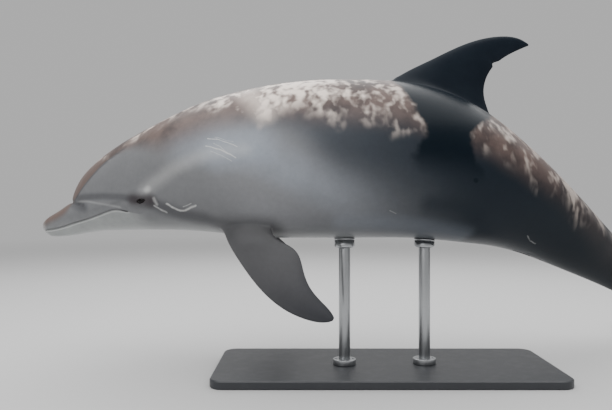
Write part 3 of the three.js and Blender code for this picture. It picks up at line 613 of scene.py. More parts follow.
class Cage:
    """Rings and columns of the body, with patches of faces that grow into fins, eyes and the blowhole."""

    def __init__(self, spine):
        self.spine = spine
        self.stations = cage_stations()
        rings = len(self.stations)
        self.u = np.repeat(self.stations[:, None], COLUMNS, axis=1)
        self.angle = np.repeat(2 * np.pi * np.arange(COLUMNS)[None, :] / COLUMNS, rings, axis=0)
        self.follow_mouth()
        self.points, self.faces, self.growths = [], [], []
        self.reach = {kind: {} for kind in GROWN}
        self.open_faces = set(cells((0, rings - 1), (0, COLUMNS)))

    def follow_mouth(self):
        """Turns the columns of the head so that one on each side runs along the mouth."""
        u = self.stations
        target = turn_at(u, mouth_level_at(np.minimum(u, MOUTH_LINE[-1][0])), MOUTH_COLUMN_LIMIT)
        even = 2 * math.pi * MOUTH_COLUMN / COLUMNS
        target = target + (even - target) * ease(*MOUTH_TURN_ENDS, u)
        pull = MOUTH_PULL * (1 - ease(*MOUTH_TURN_ENDS, u))
        half = COLUMNS // 2
        for j in range(half + 1):
            if j <= MOUTH_COLUMN:
                angle = target * j / MOUTH_COLUMN
            else:
                angle = target + (math.pi - target) * (j - MOUTH_COLUMN) / (half - MOUTH_COLUMN)
            nearness = MOUTH_NEIGHBOURS.get(abs(j - MOUTH_COLUMN), 0.0)
            angle = angle + (target - angle) * pull * nearness
            self.angle[:, j] = angle
            if 0 < j < half:
                self.angle[:, COLUMNS - j] = 2 * math.pi - angle

    def row(self, u):
        return int(np.argmin(np.abs(self.stations - u)))

    def rows(self, low, high):
        return self.row(low), self.row(high)

    def border(self, rows, columns):
        """Grid places round a patch, from its first corner along its first column."""
        (i0, i1), (j0, j1) = rows, columns
        loop = [(i, j0) for i in range(i0, i1 + 1)]
        loop += [(i1, j) for j in range(j0 + 1, j1)]
        loop += [(i, j1) for i in range(i1, i0 - 1, -1)]
        return loop + [(i0, j) for j in range(j1 - 1, j0, -1)]

    def border_points(self, rows, columns):
        loop = tuple(np.transpose([(i, j % COLUMNS) for i, j in self.border(rows, columns)]))
        return skin_point(self.spine, self.u[loop], self.angle[loop])

    def grow(self, rows, columns, rim, loops, kind, reaches=None):
        """Moves the patch's border to the rim's place on the skin and grows loops of points from it."""
        (i0, i1), (j0, j1) = rows, columns
        u, left, height = self.spine.locate(rim)
        u = np.minimum(u, LAST_RIM_STATION)
        angle = np.arctan2(left, height)
        shift = np.zeros((*self.u.shape, 2))
        free = np.zeros(self.u.shape, bool)
        near = (max(i0 - EASING_ROWS, 0), min(i1 + EASING_ROWS, len(self.stations) - 1) + 1)
        for i, j in cells(near, (j0 - EASING_COLUMNS, j1 + EASING_COLUMNS + 1)):
            free[i, j % COLUMNS] = not (i0 < i < i1 and j0 < j < j1)
        for (i, j), station, turn in zip(self.border(rows, columns), u, angle):
            j = j % COLUMNS
            turn = (turn - self.angle[i, j] + math.pi) % (2 * math.pi) - math.pi
            shift[i, j] = station - self.u[i, j], turn
            free[i, j] = False
        for _ in range(EASING_ROUNDS):
            above = np.concatenate([shift[:1], shift[:-1]])
            below = np.concatenate([shift[1:], shift[-1:]])
            around = (np.roll(shift, 1, 1) + np.roll(shift, -1, 1) + above + below) / 4
            shift[free] = around[free]
        self.u += shift[..., 0]
        self.angle += shift[..., 1]
        self.open_faces -= {(i, j % COLUMNS) for i, j in cells(rows, columns)}
        self.growths.append((rows, columns, loops, kind, reaches or [1.0] * len(loops)))

    def add(self, points, kind=None, reach=0.0):
        first = len(self.points)
        self.points.extend(np.atleast_2d(points))
        if kind:
            self.reach[kind].update({k: reach for k in range(first, len(self.points))})
        return first

    def finish(self):
        """Fills in every point and face of the cage."""
        self.add(skin_point(self.spine, self.u, self.angle).reshape(-1, 3))
        self.fill(sorted(self.open_faces), self.place)
        for rows, columns, loops, kind, reaches in self.growths:
            border = self.border(rows, columns)
            before = [self.place(*corner) for corner in border]
            for ring, reach in zip(loops, reaches):
                first = self.add(ring, kind, reach)
                now = list(range(first, first + len(ring)))
                for (b0, b1), (n0, n1) in zip(ring_pairs(before), ring_pairs(now)):
                    self.faces.append((b1, b0, n0, n1))
                before = now
            self.close_patch(rows, columns, dict(zip(border, before)), kind, reaches[-1])
        self.close_snout([self.place(0, j) for j in range(COLUMNS)])
        last = [self.place(len(self.stations) - 1, j) for j in range(COLUMNS)]
        tip = self.add(self.spine.point(1.0))
        self.faces += [(*pair, tip) for pair in ring_pairs(last)]

    def place(self, i, j):
        return i * COLUMNS + j % COLUMNS

    def fill(self, places, index):
        """A face in each cell of a grid whose points index gives."""
        for i, j in places:
            corners = ((i, j), (i, j + 1), (i + 1, j + 1), (i + 1, j))
            self.faces.append(tuple(index(*corner) for corner in corners))

    def close_patch(self, rows, columns, ids, kind, reach):
        """Closes the last loop with a grid of faces, each inner point in the middle of its neighbours."""
        (i0, i1), (j0, j1) = rows, columns
        grid = np.zeros((i1 - i0 + 1, j1 - j0 + 1, 3))
        for (i, j), index in ids.items():
            grid[i - i0, j - j0] = self.points[index]
        inside = grid[1:-1, 1:-1]
        inside[:] = np.mean([self.points[index] for index in ids.values()], axis=0)
        for _ in range(PATCH_ROUNDS):
            inside[:] = (grid[2:, 1:-1] + grid[:-2, 1:-1] + grid[1:-1, 2:] + grid[1:-1, :-2]) / 4
        for i, j in cells((i0 + 1, i1), (j0 + 1, j1)):
            ids[i, j] = self.add(grid[i - i0, j - j0], kind, reach)
        self.fill(cells(rows, columns), lambda i, j: ids[i, j])

    def close_snout(self, ring):
        """Rungs across the front of the snout, from each column to its twin on the other flank."""
        half = COLUMNS // 2
        corners = skin_point(self.spine, self.u[0], self.angle[0])
        share = (1 - np.cos(np.pi * (np.arange(SNOUT_RUNG) + 1) / (SNOUT_RUNG + 1))) / 2
        rungs = [[ring[0]]]
        for j in range(1, half):
            flat = corners[j] + (corners[COLUMNS - j] - corners[j]) * share[:, None]
            first = self.add(self.drop_on_snout(flat))
            rungs.append([ring[j], *range(first, first + SNOUT_RUNG), ring[COLUMNS - j]])
        rungs.append([ring[half]])
        for upper, lower in zip(rungs, rungs[1:]):
            for k in range(SNOUT_RUNG + 1):
                corners = [(upper, k), (upper, k + 1), (lower, k + 1), (lower, k)]
                corners = [rung[min(n, len(rung) - 1)] for rung, n in corners]
                self.faces.append(tuple(p for n, p in enumerate(corners) if p != corners[n - 1]))

    def drop_on_snout(self, points):
        """Moves points forward along the spine until they lie on the skin."""
        _, left, height = self.spine.locate(points)
        angle, distance = np.arctan2(left, height), np.hypot(left, height)
        low, high = np.zeros(len(points)), np.full(len(points), self.stations[0] * SNOUT_SEARCH)
        for _ in range(DROP_ROUNDS):
            middle = (low + high) / 2
            inside = body_radius(middle, angle) < distance
            low, high = np.where(inside, middle, low), np.where(inside, high, middle)
        return self.spine.place((low + high) / 2, -left, height)


def cage_stations():
    """Stations of the cage's rings, fine at the beak, head and tail and wider along the trunk."""
    stations = list(BEAK_STATIONS)
    for end, rings in CAGE_STRETCHES:
        stations.extend(np.linspace(stations[-1], end, rings + 1)[1:])
    return np.array(stations)


def fin_turns(rows):
    """Angles round a fin's section for the border of a patch two columns wide: 0 front edge, pi back edge."""
    count = rows[1] - rows[0] + 1
    side = [math.pi * (k + 0.5) / count for k in range(count)]
    return np.array([*side, math.pi, *[-a for a in reversed(side)], 0.0])


class FinShape:
    """Sections of a fin between its front and back edges; lay turns edge places into points."""

    def __init__(self, front, back, thickness, lay, notches=()):
        self.front, self.back = edge_curve(front), edge_curve(back)
        self.thickness = spline(thickness, THOUSANDTH)
        self.lay = lay
        self.notches = notches

    def ring(self, share, turns, wider=FIN_CHORD):
        a0, b0 = self.front(share)
        a1, b1 = self.back(share)
        for at, width, depth in self.notches:
            a1 = a1 - depth * math.exp(-((share - at) / width) ** 2)
        chord = (1 - np.cos(turns)) / 2
        spread = (chord - 0.5) * wider + 0.5
        half = self.thickness(share) * wider * np.sin(turns) * (1 - BACK_EDGE_THINNING * chord)
        return self.lay(a0 + (a1 - a0) * spread, b0 + (b1 - b0) * spread, half, share)


def grow_fin(cage, kind, shape, rows, middle, rim, shares):
    """A fin from a patch two columns wide; rim is its root's share of the edges and its widening there."""
    turns = fin_turns(rows)
    loops = [shape.ring(share, turns) for share in shares]
    cage.grow(rows, (middle - 1, middle + 1), shape.ring(rim[0], turns, rim[1]), loops, kind, list(shares))


def grow_dorsal_fin(cage):
    origin = cage.spine.point(FIN_STATION)
    yaw = math.radians(float(yaw_at(FIN_STATION)))
    along = np.array([math.cos(yaw), math.sin(yaw), 0])
    right = np.array([-math.sin(yaw), math.cos(yaw), 0])

    def lay(back, rise, half, share):
        bend = FIN_ROOT_BEND * back * back * (1 - share)
        return origin + column(back) * along + column(bend + half) * right + column(rise) * UPRIGHT

    shape = FinShape(FIN_FRONT_EDGE, FIN_BACK_EDGE, FIN_HALF_THICKNESS, lay, FIN_NOTCHES)
    grow_fin(cage, "dorsal", shape, cage.rows(*FIN_ROOT), 0, FIN_RIM, FIN_SHARES)


def grow_flipper(cage, side, span, front):
    along, right, up = directions(FLIPPER_STATION)
    root = skin_point(cage.spine, FLIPPER_STATION, side * math.radians(FLIPPER_ANGLE))
    span = unit(along * span[0] - right * side * span[1] + up * span[2])
    front = along * front[0] - right * side * front[1] + up * front[2]
    front = unit(front - span * (front @ span))
    face = np.cross(span, front)
    first_side = side if face @ up > 0 else -side

    def lay(reach, forward, half, share):
        return root + column(reach) * span + column(forward) * front + column(half * first_side) * face

    shape = FinShape(FLIPPER_FRONT_EDGE, FLIPPER_BACK_EDGE, FLIPPER_HALF_THICKNESS, lay)
    rows = cage.rows(*FLIPPER_ROOT)
    grow_fin(cage, "flipper", shape, rows, side * FLIPPER_COLUMN, FLIPPER_RIM, FLIPPER_SHARES)


def grow_fluke(cage, side):
    origin = cage.spine.point(1.0)
    along, right, up = directions(FLUKE_STATION)

    def lay(back, out, half, share):
        drop = column(half * side - FLUKE_DROOP * np.square(out))
        return origin + column(back) * along - column(out * side) * right + drop * up

    shape = FinShape(FLUKE_FRONT_EDGE, FLUKE_BACK_EDGE, FLUKE_HALF_THICKNESS, lay)
    rows = (cage.row(FLUKE_ROOT), len(cage.stations) - 2)
    grow_fin(cage, "fluke", shape, rows, side * COLUMNS // 4, FLUKE_RIM, FLUKE_SHARES)


class EyeFrame:
    """Axes of one eye on the skin: back along the head, up the cheek and straight out."""

    def __init__(self, spine, side):
        self.spine = spine
        angle = side * math.radians(EYE_ANGLE)
        self.surface = skin_point(spine, EYE_STATION, angle)
        ends = [skin_point(spine, EYE_STATION + step, angle) for step in (-EYE_STEP_BACK, EYE_STEP_BACK)]
        self.back = unit(ends[1] - ends[0])
        sides = [skin_point(spine, EYE_STATION, angle + side * turn) for turn in (EYE_STEP_UP, -EYE_STEP_UP)]
        up = sides[1] - sides[0]
        self.up = unit(up - self.back * (up @ self.back))
        self.out = np.cross(self.back, self.up) * side
        self.centre = self.surface - self.out * EYE_INSET

    def turns(self, points):
        """Angles of points round the eye, half way to evenly spread ones."""
        gap = points - self.surface
        turns = np.unwrap(np.arctan2(gap @ self.up, gap @ self.back))
        even = turns[0] + np.sign(turns[-1] - turns[0]) * 2 * math.pi * np.arange(len(turns)) / len(turns)
        even = even + np.mean(turns - even)
        return (turns + even) / 2

    def ring(self, turns, half_length, half_height, lift):
        points = self.surface + column(np.cos(turns) * half_length) * self.back
        points = points + column(np.sin(turns) * half_height) * self.up
        return dropped(self.spine, points) + column(lift * np.ones_like(turns)) * self.out


def dropped(spine, points):
    """Points moved straight in or out until they lie on the skin."""
    u, left, height = spine.locate(points)
    return skin_point(spine, u, np.arctan2(left, height))


def grow_eyelids(cage, side, opening):
    """Lids round an opening, folded back into a socket behind the eyeball."""
    eye = EyeFrame(cage.spine, side)
    half_length, half_height = opening[0] / 2, opening[1] / 2
    rows = cage.rows(EYE_STATION - EYE_PATCH / 2, EYE_STATION + EYE_PATCH / 2)
    middle = cage.angle[cage.row(EYE_STATION), :COLUMNS // 2]
    nearest = int(np.argmin(np.abs(middle - math.radians(EYE_ANGLE))))
    nearest = nearest if side > 0 else COLUMNS - nearest
    columns = (nearest - 2, nearest + 2)
    turns = eye.turns(cage.border_points(rows, columns))
    corner = np.abs(np.cos(turns)) ** 3
    loops = []
    for wider, taller, lift, corner_lift in EYELID_LOOPS:
        lift = lift + (corner_lift - lift) * corner
        loops.append(eye.ring(turns, half_length + wider, half_height + taller, lift))
    cage.grow(rows, columns, eye.ring(turns, *EYE_RIM, 0.0), loops, "eyelid")


def grow_blowhole(cage):
    """A crescent slit with its horns towards the snout, in a low raised lip."""
    spine = cage.spine
    along, right, up = directions(BLOWHOLE_STATION)
    centre = skin_point(spine, BLOWHOLE_STATION, 0.0)
    row = cage.row(BLOWHOLE_STATION)
    rows, columns = (row - 2, row + 2), (-2, 2)
    gap = cage.border_points(rows, columns) - centre
    turns = np.arctan2(-gap @ right, gap @ along)
    behind = np.abs(turns) < math.pi / 2
    to_rear = np.where(behind, turns, np.sign(turns) * (math.pi - np.abs(turns)))
    arc = to_rear / (math.pi / 2) * math.radians(BLOWHOLE_HALF_TURN)

    def laid(radii, angles, lift):
        points = centre + column(np.cos(angles) * radii) * along
        points = points - column(np.sin(angles) * radii) * right
        return dropped(spine, points) + lift * up

    rim, loop, lift = BLOWHOLE_RIM
    loops = [laid(np.full_like(turns, loop), turns, lift)]
    for width, lift in BLOWHOLE_LOOPS:
        loops.append(laid(BLOWHOLE_RADIUS + width * np.cos(turns), arc, lift))
    cage.grow(rows, columns, laid(np.full_like(turns, rim), turns, 0.0), loops, "blowhole")


# ---------------------------------------------------------------- the skin's mesh and fine forms

class Skin:
    """The subdivided skin as arrays: points, body places and how far each grown part reaches."""

    def __init__(self, mesh, spine):
        self.mesh = mesh
        self.spine = spine
        self.points = read(mesh.vertices, "co", 3)
        grown = [read(mesh.attributes[kind].data, "value") for kind in GROWN]
        self.on_body = 1 - np.clip(sum(np.clip(reach * GROWN_EDGE, 0, 1) for reach in grown), 0, 1)
        self.locate()

    def locate(self):
        self.u, self.left, self.height = self.spine.locate(self.points)
        self.angle = np.arctan2(self.left, self.height)

    def settle(self):
        """Puts the points of the plain body exactly on the body's own surface."""
        lined = skin_point(self.spine, np.clip(self.u, 0, 1), self.angle, -SKIN_INSET)
        inside = (self.u > SETTLED_STATIONS[0]) & (self.u < SETTLED_STATIONS[1])
        share = np.where(inside, self.on_body, 0)[:, None]
        self.points = self.points + (lined - self.points) * share
        self.locate()

    def store(self):
        self.mesh.vertices.foreach_set("co", self.points.astype(np.float32).ravel())
        self.mesh.update()

    def distance(self, line):
        """Distance to a line of points, and the share of its length at the nearest place."""
        low, high = line.min(0) - LINE_REACH, line.max(0) + LINE_REACH
        near = np.all((self.points > low) & (self.points < high), axis=1)
        points = self.points[near]
        best, place = np.full(len(points), 1.0), np.zeros(len(points))
        lengths = lengths_along(line)
        for k in range(len(line) - 1):
            step = line[k + 1] - line[k]
            share = np.clip((points - line[k]) @ step / (step @ step), 0, 1)
            gap = np.linalg.norm(points - line[k] - share[:, None] * step, axis=1)
            closer = gap < best
            best[closer] = gap[closer]
            place[closer] = ((lengths[k] + share * (lengths[k + 1] - lengths[k])) / lengths[-1])[closer]
        gap, along = np.full(len(self.points), 1.0), np.zeros(len(self.points))
        gap[near], along[near] = best, place
        return gap, along

    def fold(self, line, depth, width, taper):
        """Depth of a groove along a line, fading out at its ends."""
        gap, along = self.distance(line)
        return -depth * bell(gap, 0, width) * both_ends(along, taper)

    def press(self, amount):
        """Moves the points along their normals."""
        self.store()
        self.points = self.points + read(self.mesh.vertices, "normal", 3) * amount[:, None]
        self.store()


def both_ends(along, taper):
    return ease(0, taper, along) * ease(0, taper, 1 - along)


def read(items, name, width=1):
    values = np.zeros(len(items) * width, np.float32)
    items.foreach_get(name, values)
    return values.reshape(-1, width).astype(float) if width > 1 else values.astype(float)


def keep(mesh, name, values):
    """Stores a number or a vector for each point of a mesh."""
    kind, field = ("FLOAT_VECTOR", "vector") if values.ndim > 1 else ("FLOAT", "value")
    mesh.attributes.new(name, kind, "POINT").data.foreach_set(field, values.astype(np.float32).ravel())


def line_on_skin(spine, places, side):
    """Points on the skin along a smooth line through (station, height in thousandths) places on one flank."""
    share = np.linspace(0, 1, len(places))
    at = np.linspace(0, 1, LINE_STEPS)
    u, height = [spline(np.stack([share, values], -1), scale)(at)
                 for values, scale in zip(np.transpose(places), (1.0, THOUSANDTH))]
    return skin_point(spine, u, turn_at(u, height, LINE_LIMIT) * side)


def mouth_line(spine, end):
    """The closed mouth, from one corner round the front of the snout to the other."""
    first, bend = MOUTH_STEPS_CHANGE
    fine, wide = MOUTH_STEPS
    u = np.concatenate([np.linspace(first, bend, fine)[:-1], np.linspace(bend, end, wide)])
    turn = turn_at(u, mouth_level_at(u))
    return np.concatenate([skin_point(spine, u, -turn)[::-1], skin_point(spine, u, turn)])


def crease_line(spine):
    """Where the melon rises off the beak, over the top from one cheek to the other."""
    around, along = CREASE_STEPS
    turns = np.radians(np.linspace(-CREASE_END, CREASE_END, around))
    stations = np.linspace(*CREASE_STATIONS, along)
    u = np.zeros(len(turns))
    for k, turn in enumerate(turns):
        beak, melon, _ = upper_sections(stations, math.sin(turn), math.cos(turn))
        above = np.nonzero(melon > beak)[0]
        u[k] = stations[above[0] if len(above) else -1]
    return skin_point(spine, u, turns)


def grow_skin(spine, settings):
    cage = Cage(spine)
    grow_dorsal_fin(cage)
    grow_flipper(cage, 1, *LEFT_FLIPPER)
    grow_flipper(cage, -1, *RIGHT_FLIPPER)
    grow_fluke(cage, 1)
    grow_fluke(cage, -1)
    for side in (1, -1):
        grow_eyelids(cage, side, (settings.eye_opening_length, settings.eye_opening_height))
    grow_blowhole(cage)
    cage.finish()
    mesh = bpy.data.meshes.new("dolphin_skin_cage")
    mesh.from_pydata([tuple(p) for p in cage.points], [], cage.faces)
    for kind in GROWN:
        reach = np.zeros(len(cage.points))
        for index, value in cage.reach[kind].items():
            reach[index] = value
        keep(mesh, kind, reach)
    return subdivided(mesh)


def linked(name, data):
    """A new object in the scene."""
    made = bpy.data.objects.new(name, data)
    bpy.context.scene.collection.objects.link(made)
    return made


def plain_mesh(holder):
    """The mesh of an object with its modifiers applied; the object itself is removed."""
    bpy.context.view_layer.update()
    evaluated = holder.evaluated_get(bpy.context.evaluated_depsgraph_get())
    result = bpy.data.meshes.new_from_object(evaluated)
    bpy.data.objects.remove(holder)
    return result


def reworked(mesh, change):
    """The mesh after a change made on its bmesh."""
    work = bmesh.new()
    work.from_mesh(mesh)
    change(work)
    work.to_mesh(mesh)
    work.free()
    return mesh


def subdivided(mesh):
    """The mesh with its subdivision applied and no loose points, as a new mesh."""
    holder = linked("subdividing", mesh)
    modifier = holder.modifiers.new("rounding", "SUBSURF")
    modifier.levels = modifier.render_levels = SKIN_LEVELS

    def drop_loose(work):
        loose = [v for v in work.verts if not v.link_faces]
        bmesh.ops.delete(work, geom=loose, context="VERTS")

    return reworked(plain_mesh(holder), drop_loose)


def shape_skin(skin, settings):
    """Mouth, crease, folds and slits, pressed into the skin."""
    skin.settle()
    spine = skin.spine
    gap, along = skin.distance(mouth_line(spine, MOUTH_END))
    over = skin.height - mouth_level_at(np.clip(skin.u, 0, MOUTH_END))
    press = -settings.mouth_depth * bell(gap, 0, settings.mouth_width)
    for side, swell, middle, width in LIPS:
        press += swell * bell(gap, middle, width) * (over * side > 0)
    press *= both_ends(along, MOUTH_TAPER)
    press += skin.fold(crease_line(spine), settings.crease_depth, *CREASE_FOLD)
    for places, depth, width in FOLDS:
        for side in (1, -1):
            press += skin.fold(line_on_skin(spine, places, side), depth, width, FOLD_TAPER)
    for start, end, sideways, depth, width in BELLY_SLITS:
        stations = np.linspace(start, end, SLIT_STEPS)
        slit = skin_point(spine, stations, math.pi + math.radians(sideways))
        press += skin.fold(slit, depth, width, SLIT_TAPER)
    skin.press(press * skin.on_body)


# ---------------------------------------------------------------- paint: nodes as expressions

def maths(operation, swapped=False):
    """A Python operator on signals that adds one Math node; swapped is its reflected form."""
    def act(self, other):
        return self.math(operation, *((other, self) if swapped else (self, other)))
    return act


class Signal:
    """One output of a material's nodes, so that shader maths reads as an expression."""

    def __init__(self, paint, socket):
        self.paint = paint
        self.socket = socket

    def math(self, operation, *values):
        return self.paint.node("ShaderNodeMath", {"operation": operation}, dict(enumerate(values)))

    __add__, __radd__ = maths("ADD"), maths("ADD", True)
    __sub__, __rsub__ = maths("SUBTRACT"), maths("SUBTRACT", True)
    __mul__, __rmul__ = maths("MULTIPLY"), maths("MULTIPLY", True)
    __truediv__, __rtruediv__ = maths("DIVIDE"), maths("DIVIDE", True)
    __pow__, __rpow__ = maths("POWER"), maths("POWER", True)
    most = maths("MAXIMUM")

    def rises(self, low, high):
        """0 below low and 1 above high, smooth between; with low above high it falls instead."""
        sockets = {"Value": self, "From Min": low, "From Max": high}
        return self.paint.node("ShaderNodeMapRange", {"interpolation_type": "SMOOTHSTEP"}, sockets)


class Paint:
    """A material, its nodes made by one method and joined by expressions."""

    def __init__(self, name):
        self.material = bpy.data.materials.new(name)
        self.material.use_nodes = True
        self.nodes = self.material.node_tree.nodes
        self.nodes.clear()

    def node(self, kind, settings=None, sockets=None, output=0):
        """Makes a node, its settings first, then its sockets' values or links."""
        node = self.nodes.new(kind)
        for name, value in (settings or {}).items():
            setattr(node, name, value)
        for name, value in (sockets or {}).items():
            if isinstance(value, Signal):
                self.material.node_tree.links.new(value.socket, node.inputs[name])
            else:
                node.inputs[name].default_value = value
        return Signal(self, node.outputs[output]) if node.outputs else None

    def attribute(self, name, output="Fac"):
        return self.node("ShaderNodeAttribute", {"attribute_name": name}, output=output)

    def place(self, *stretch):
        """The place on the object, stretched along its axes."""
        place = self.node("ShaderNodeTexCoord", output="Object")
        return self.vector("MULTIPLY", place, stretch) if stretch else place

    def noise(self, scale, detail=3.0, roughness=0.55, place=None, distortion=0.0, output=0):
        sockets = {"Scale": scale, "Detail": detail, "Roughness": roughness, "Distortion": distortion}
        return self.node("ShaderNodeTexNoise", {}, {"Vector": place or self.place(), **sockets}, output)

    def vector(self, operation, *values, scale=None, output="Vector"):
        sockets = {**dict(enumerate(values)), **({} if scale is None else {"Scale": scale})}
        return self.node("ShaderNodeVectorMath", {"operation": operation}, sockets, output)

    def parts(self, vector, count):
        """The first numbers of a vector, each as a signal."""
        split = self.node("ShaderNodeSeparateXYZ", {}, {"Vector": vector}).socket.node
        return [Signal(self, split.outputs[k]) for k in range(count)]

    def joined(self, *numbers):
        return self.node("ShaderNodeCombineXYZ", {}, dict(enumerate(numbers)))

    def mix(self, share, first, second, blend="MIX"):
        """A colour between two others."""
        settings = {"data_type": "RGBA", "blend_type": blend, "clamp_factor": True}
        first, second = [c if isinstance(c, Signal) else opaque(c) for c in (first, second)]
        return self.node("ShaderNodeMix", settings, {0: share, 6: first, 7: second}, 2)

    def bump(self, height, distance, strength):
        sockets = {"Height": height, "Distance": distance, "Strength": strength}
        return self.node("ShaderNodeBump", {}, sockets)

    def finish(self, **sockets):
        """Joins a Principled surface with these sockets to the output, and returns the material."""
        named = {name.replace("_", " "): value for name, value in sockets.items()}
        surface = self.node("ShaderNodeBsdfPrincipled", {}, named)
        self.node("ShaderNodeOutputMaterial", {}, {"Surface": surface})
        return self.material


def shade(*screen):
    """A colour from its red, green and blue screen values, 0 to 255."""
    values = [value / 255 for value in screen]
    return tuple(v / 12.92 if v <= 0.04045 else ((v + 0.055) / 1.055) ** 2.4 for v in values)


def opaque(colour):
    return (*colour, 1.0)


def flank_place(place):
    """A (station, height in thousandths) place in the flat chart of a flank, in metres."""
    return np.array([place[0] * BODY_LENGTH, place[1] * THOUSANDTH, 0.0])


class Chart:
    """Marks drawn in the flat chart of a flank: distance along the body and height from the spine."""

    def __init__(self, paint):
        self.paint = paint
        self.along, self.height, self.left = paint.parts(paint.attribute("chart", "Vector"), 3)
        self.flat = paint.joined(self.along, self.height)

    def stroke(self, start, end, width, softness=0.5, flat=None):
        """1 on a straight stroke between two places, 0 off it; flat is a shaken copy of the chart."""
        a, b = flank_place(start), flank_place(end)
        step = b - a
        gap = self.paint.vector("SUBTRACT", flat or self.flat, tuple(a))
        share = self.paint.vector("DOT_PRODUCT", gap, tuple(-step / (step @ step)), output="Value")
        share = self.paint.node("ShaderNodeClamp", {}, {"Value": share, "Min": -1.0, "Max": 0.0})
        off = self.paint.vector("ADD", gap, self.paint.vector("SCALE", tuple(step), scale=share))
        return self.paint.vector("LENGTH", off, output="Value").rises(width, width * (1 - softness))

    def line(self, places, width, softness, flat):
        """Strokes joined through several places."""
        mask = None
        for start, end in zip(places, places[1:]):
            stroke = self.stroke(start, end, width, softness, flat)
            mask = mask.most(stroke) if mask else stroke
        return mask


def mark(skin, places, width, softness):
    """1 along a line through chart places on both flanks, fading to 0 at its width."""
    flat = np.stack([skin.u * BODY_LENGTH, skin.height], -1)
    gap = np.full(len(flat), 1.0)
    for start, end in zip(places, places[1:]):
        a, b = flank_place(start)[:2], flank_place(end)[:2]
        share = np.clip((flat - a) @ (b - a) / ((b - a) @ (b - a)), 0, 1)
        gap = np.minimum(gap, np.linalg.norm(flat - a - share[:, None] * (b - a), axis=1))
    return 1 - ease(width * (1 - softness), width, gap)


def fin_shade(skin):
    """1 in the fin's painted shadow under the dorsal fin, between its front and rear edges."""
    low, high = FIN_SHADE_FRONT[0][0] * THOUSANDTH, FIN_SHADE_FRONT[-1][0] * THOUSANDTH
    tall = np.clip(skin.height, low, high)
    front, rear = [spline([(h * THOUSANDTH, u) for h, u in edge])(tall)
                   for edge in (FIN_SHADE_FRONT, FIN_SHADE_REAR)]
    soft = (-FIN_SHADE_SOFTNESS, FIN_SHADE_SOFTNESS)
    return ease(*soft, skin.u - front) * ease(*soft, rear - skin.u) * ease(*FIN_SHADE_FOOT, skin.height)


def store_charts(skin):
    """Keeps the body places, levels and marks that the paint reads."""
    station = np.clip(skin.u, 0, 1)
    fields = {name: skin.height - spline(line, THOUSANDTH)(station) for name, line in LEVELS.items()}
    stations, softness = np.transpose(CAPE_SOFTNESS)
    fields["cape"] /= np.interp(skin.u, stations, softness * THOUSANDTH)
    fields["belly"] = -fields["belly"]
    fields["jaw"] = mouth_level_at(np.clip(skin.u, 0, MOUTH_LINE[-1][0])) - skin.height
    fields["mouth"], _ = skin.distance(mouth_line(skin.spine, MOUTH_END))
    fields["crease"], _ = skin.distance(crease_line(skin.spine))
    fields["fin_shade"] = fin_shade(skin)
    for name, (places, width, softness) in MARKS.items():
        fields[name] = mark(skin, places, width, softness)
    for name, values in fields.items():
        keep(skin.mesh, name, np.clip(values, -1, 1))
    keep(skin.mesh, "chart", np.stack([skin.u * BODY_LENGTH, skin.height, skin.left], -1))


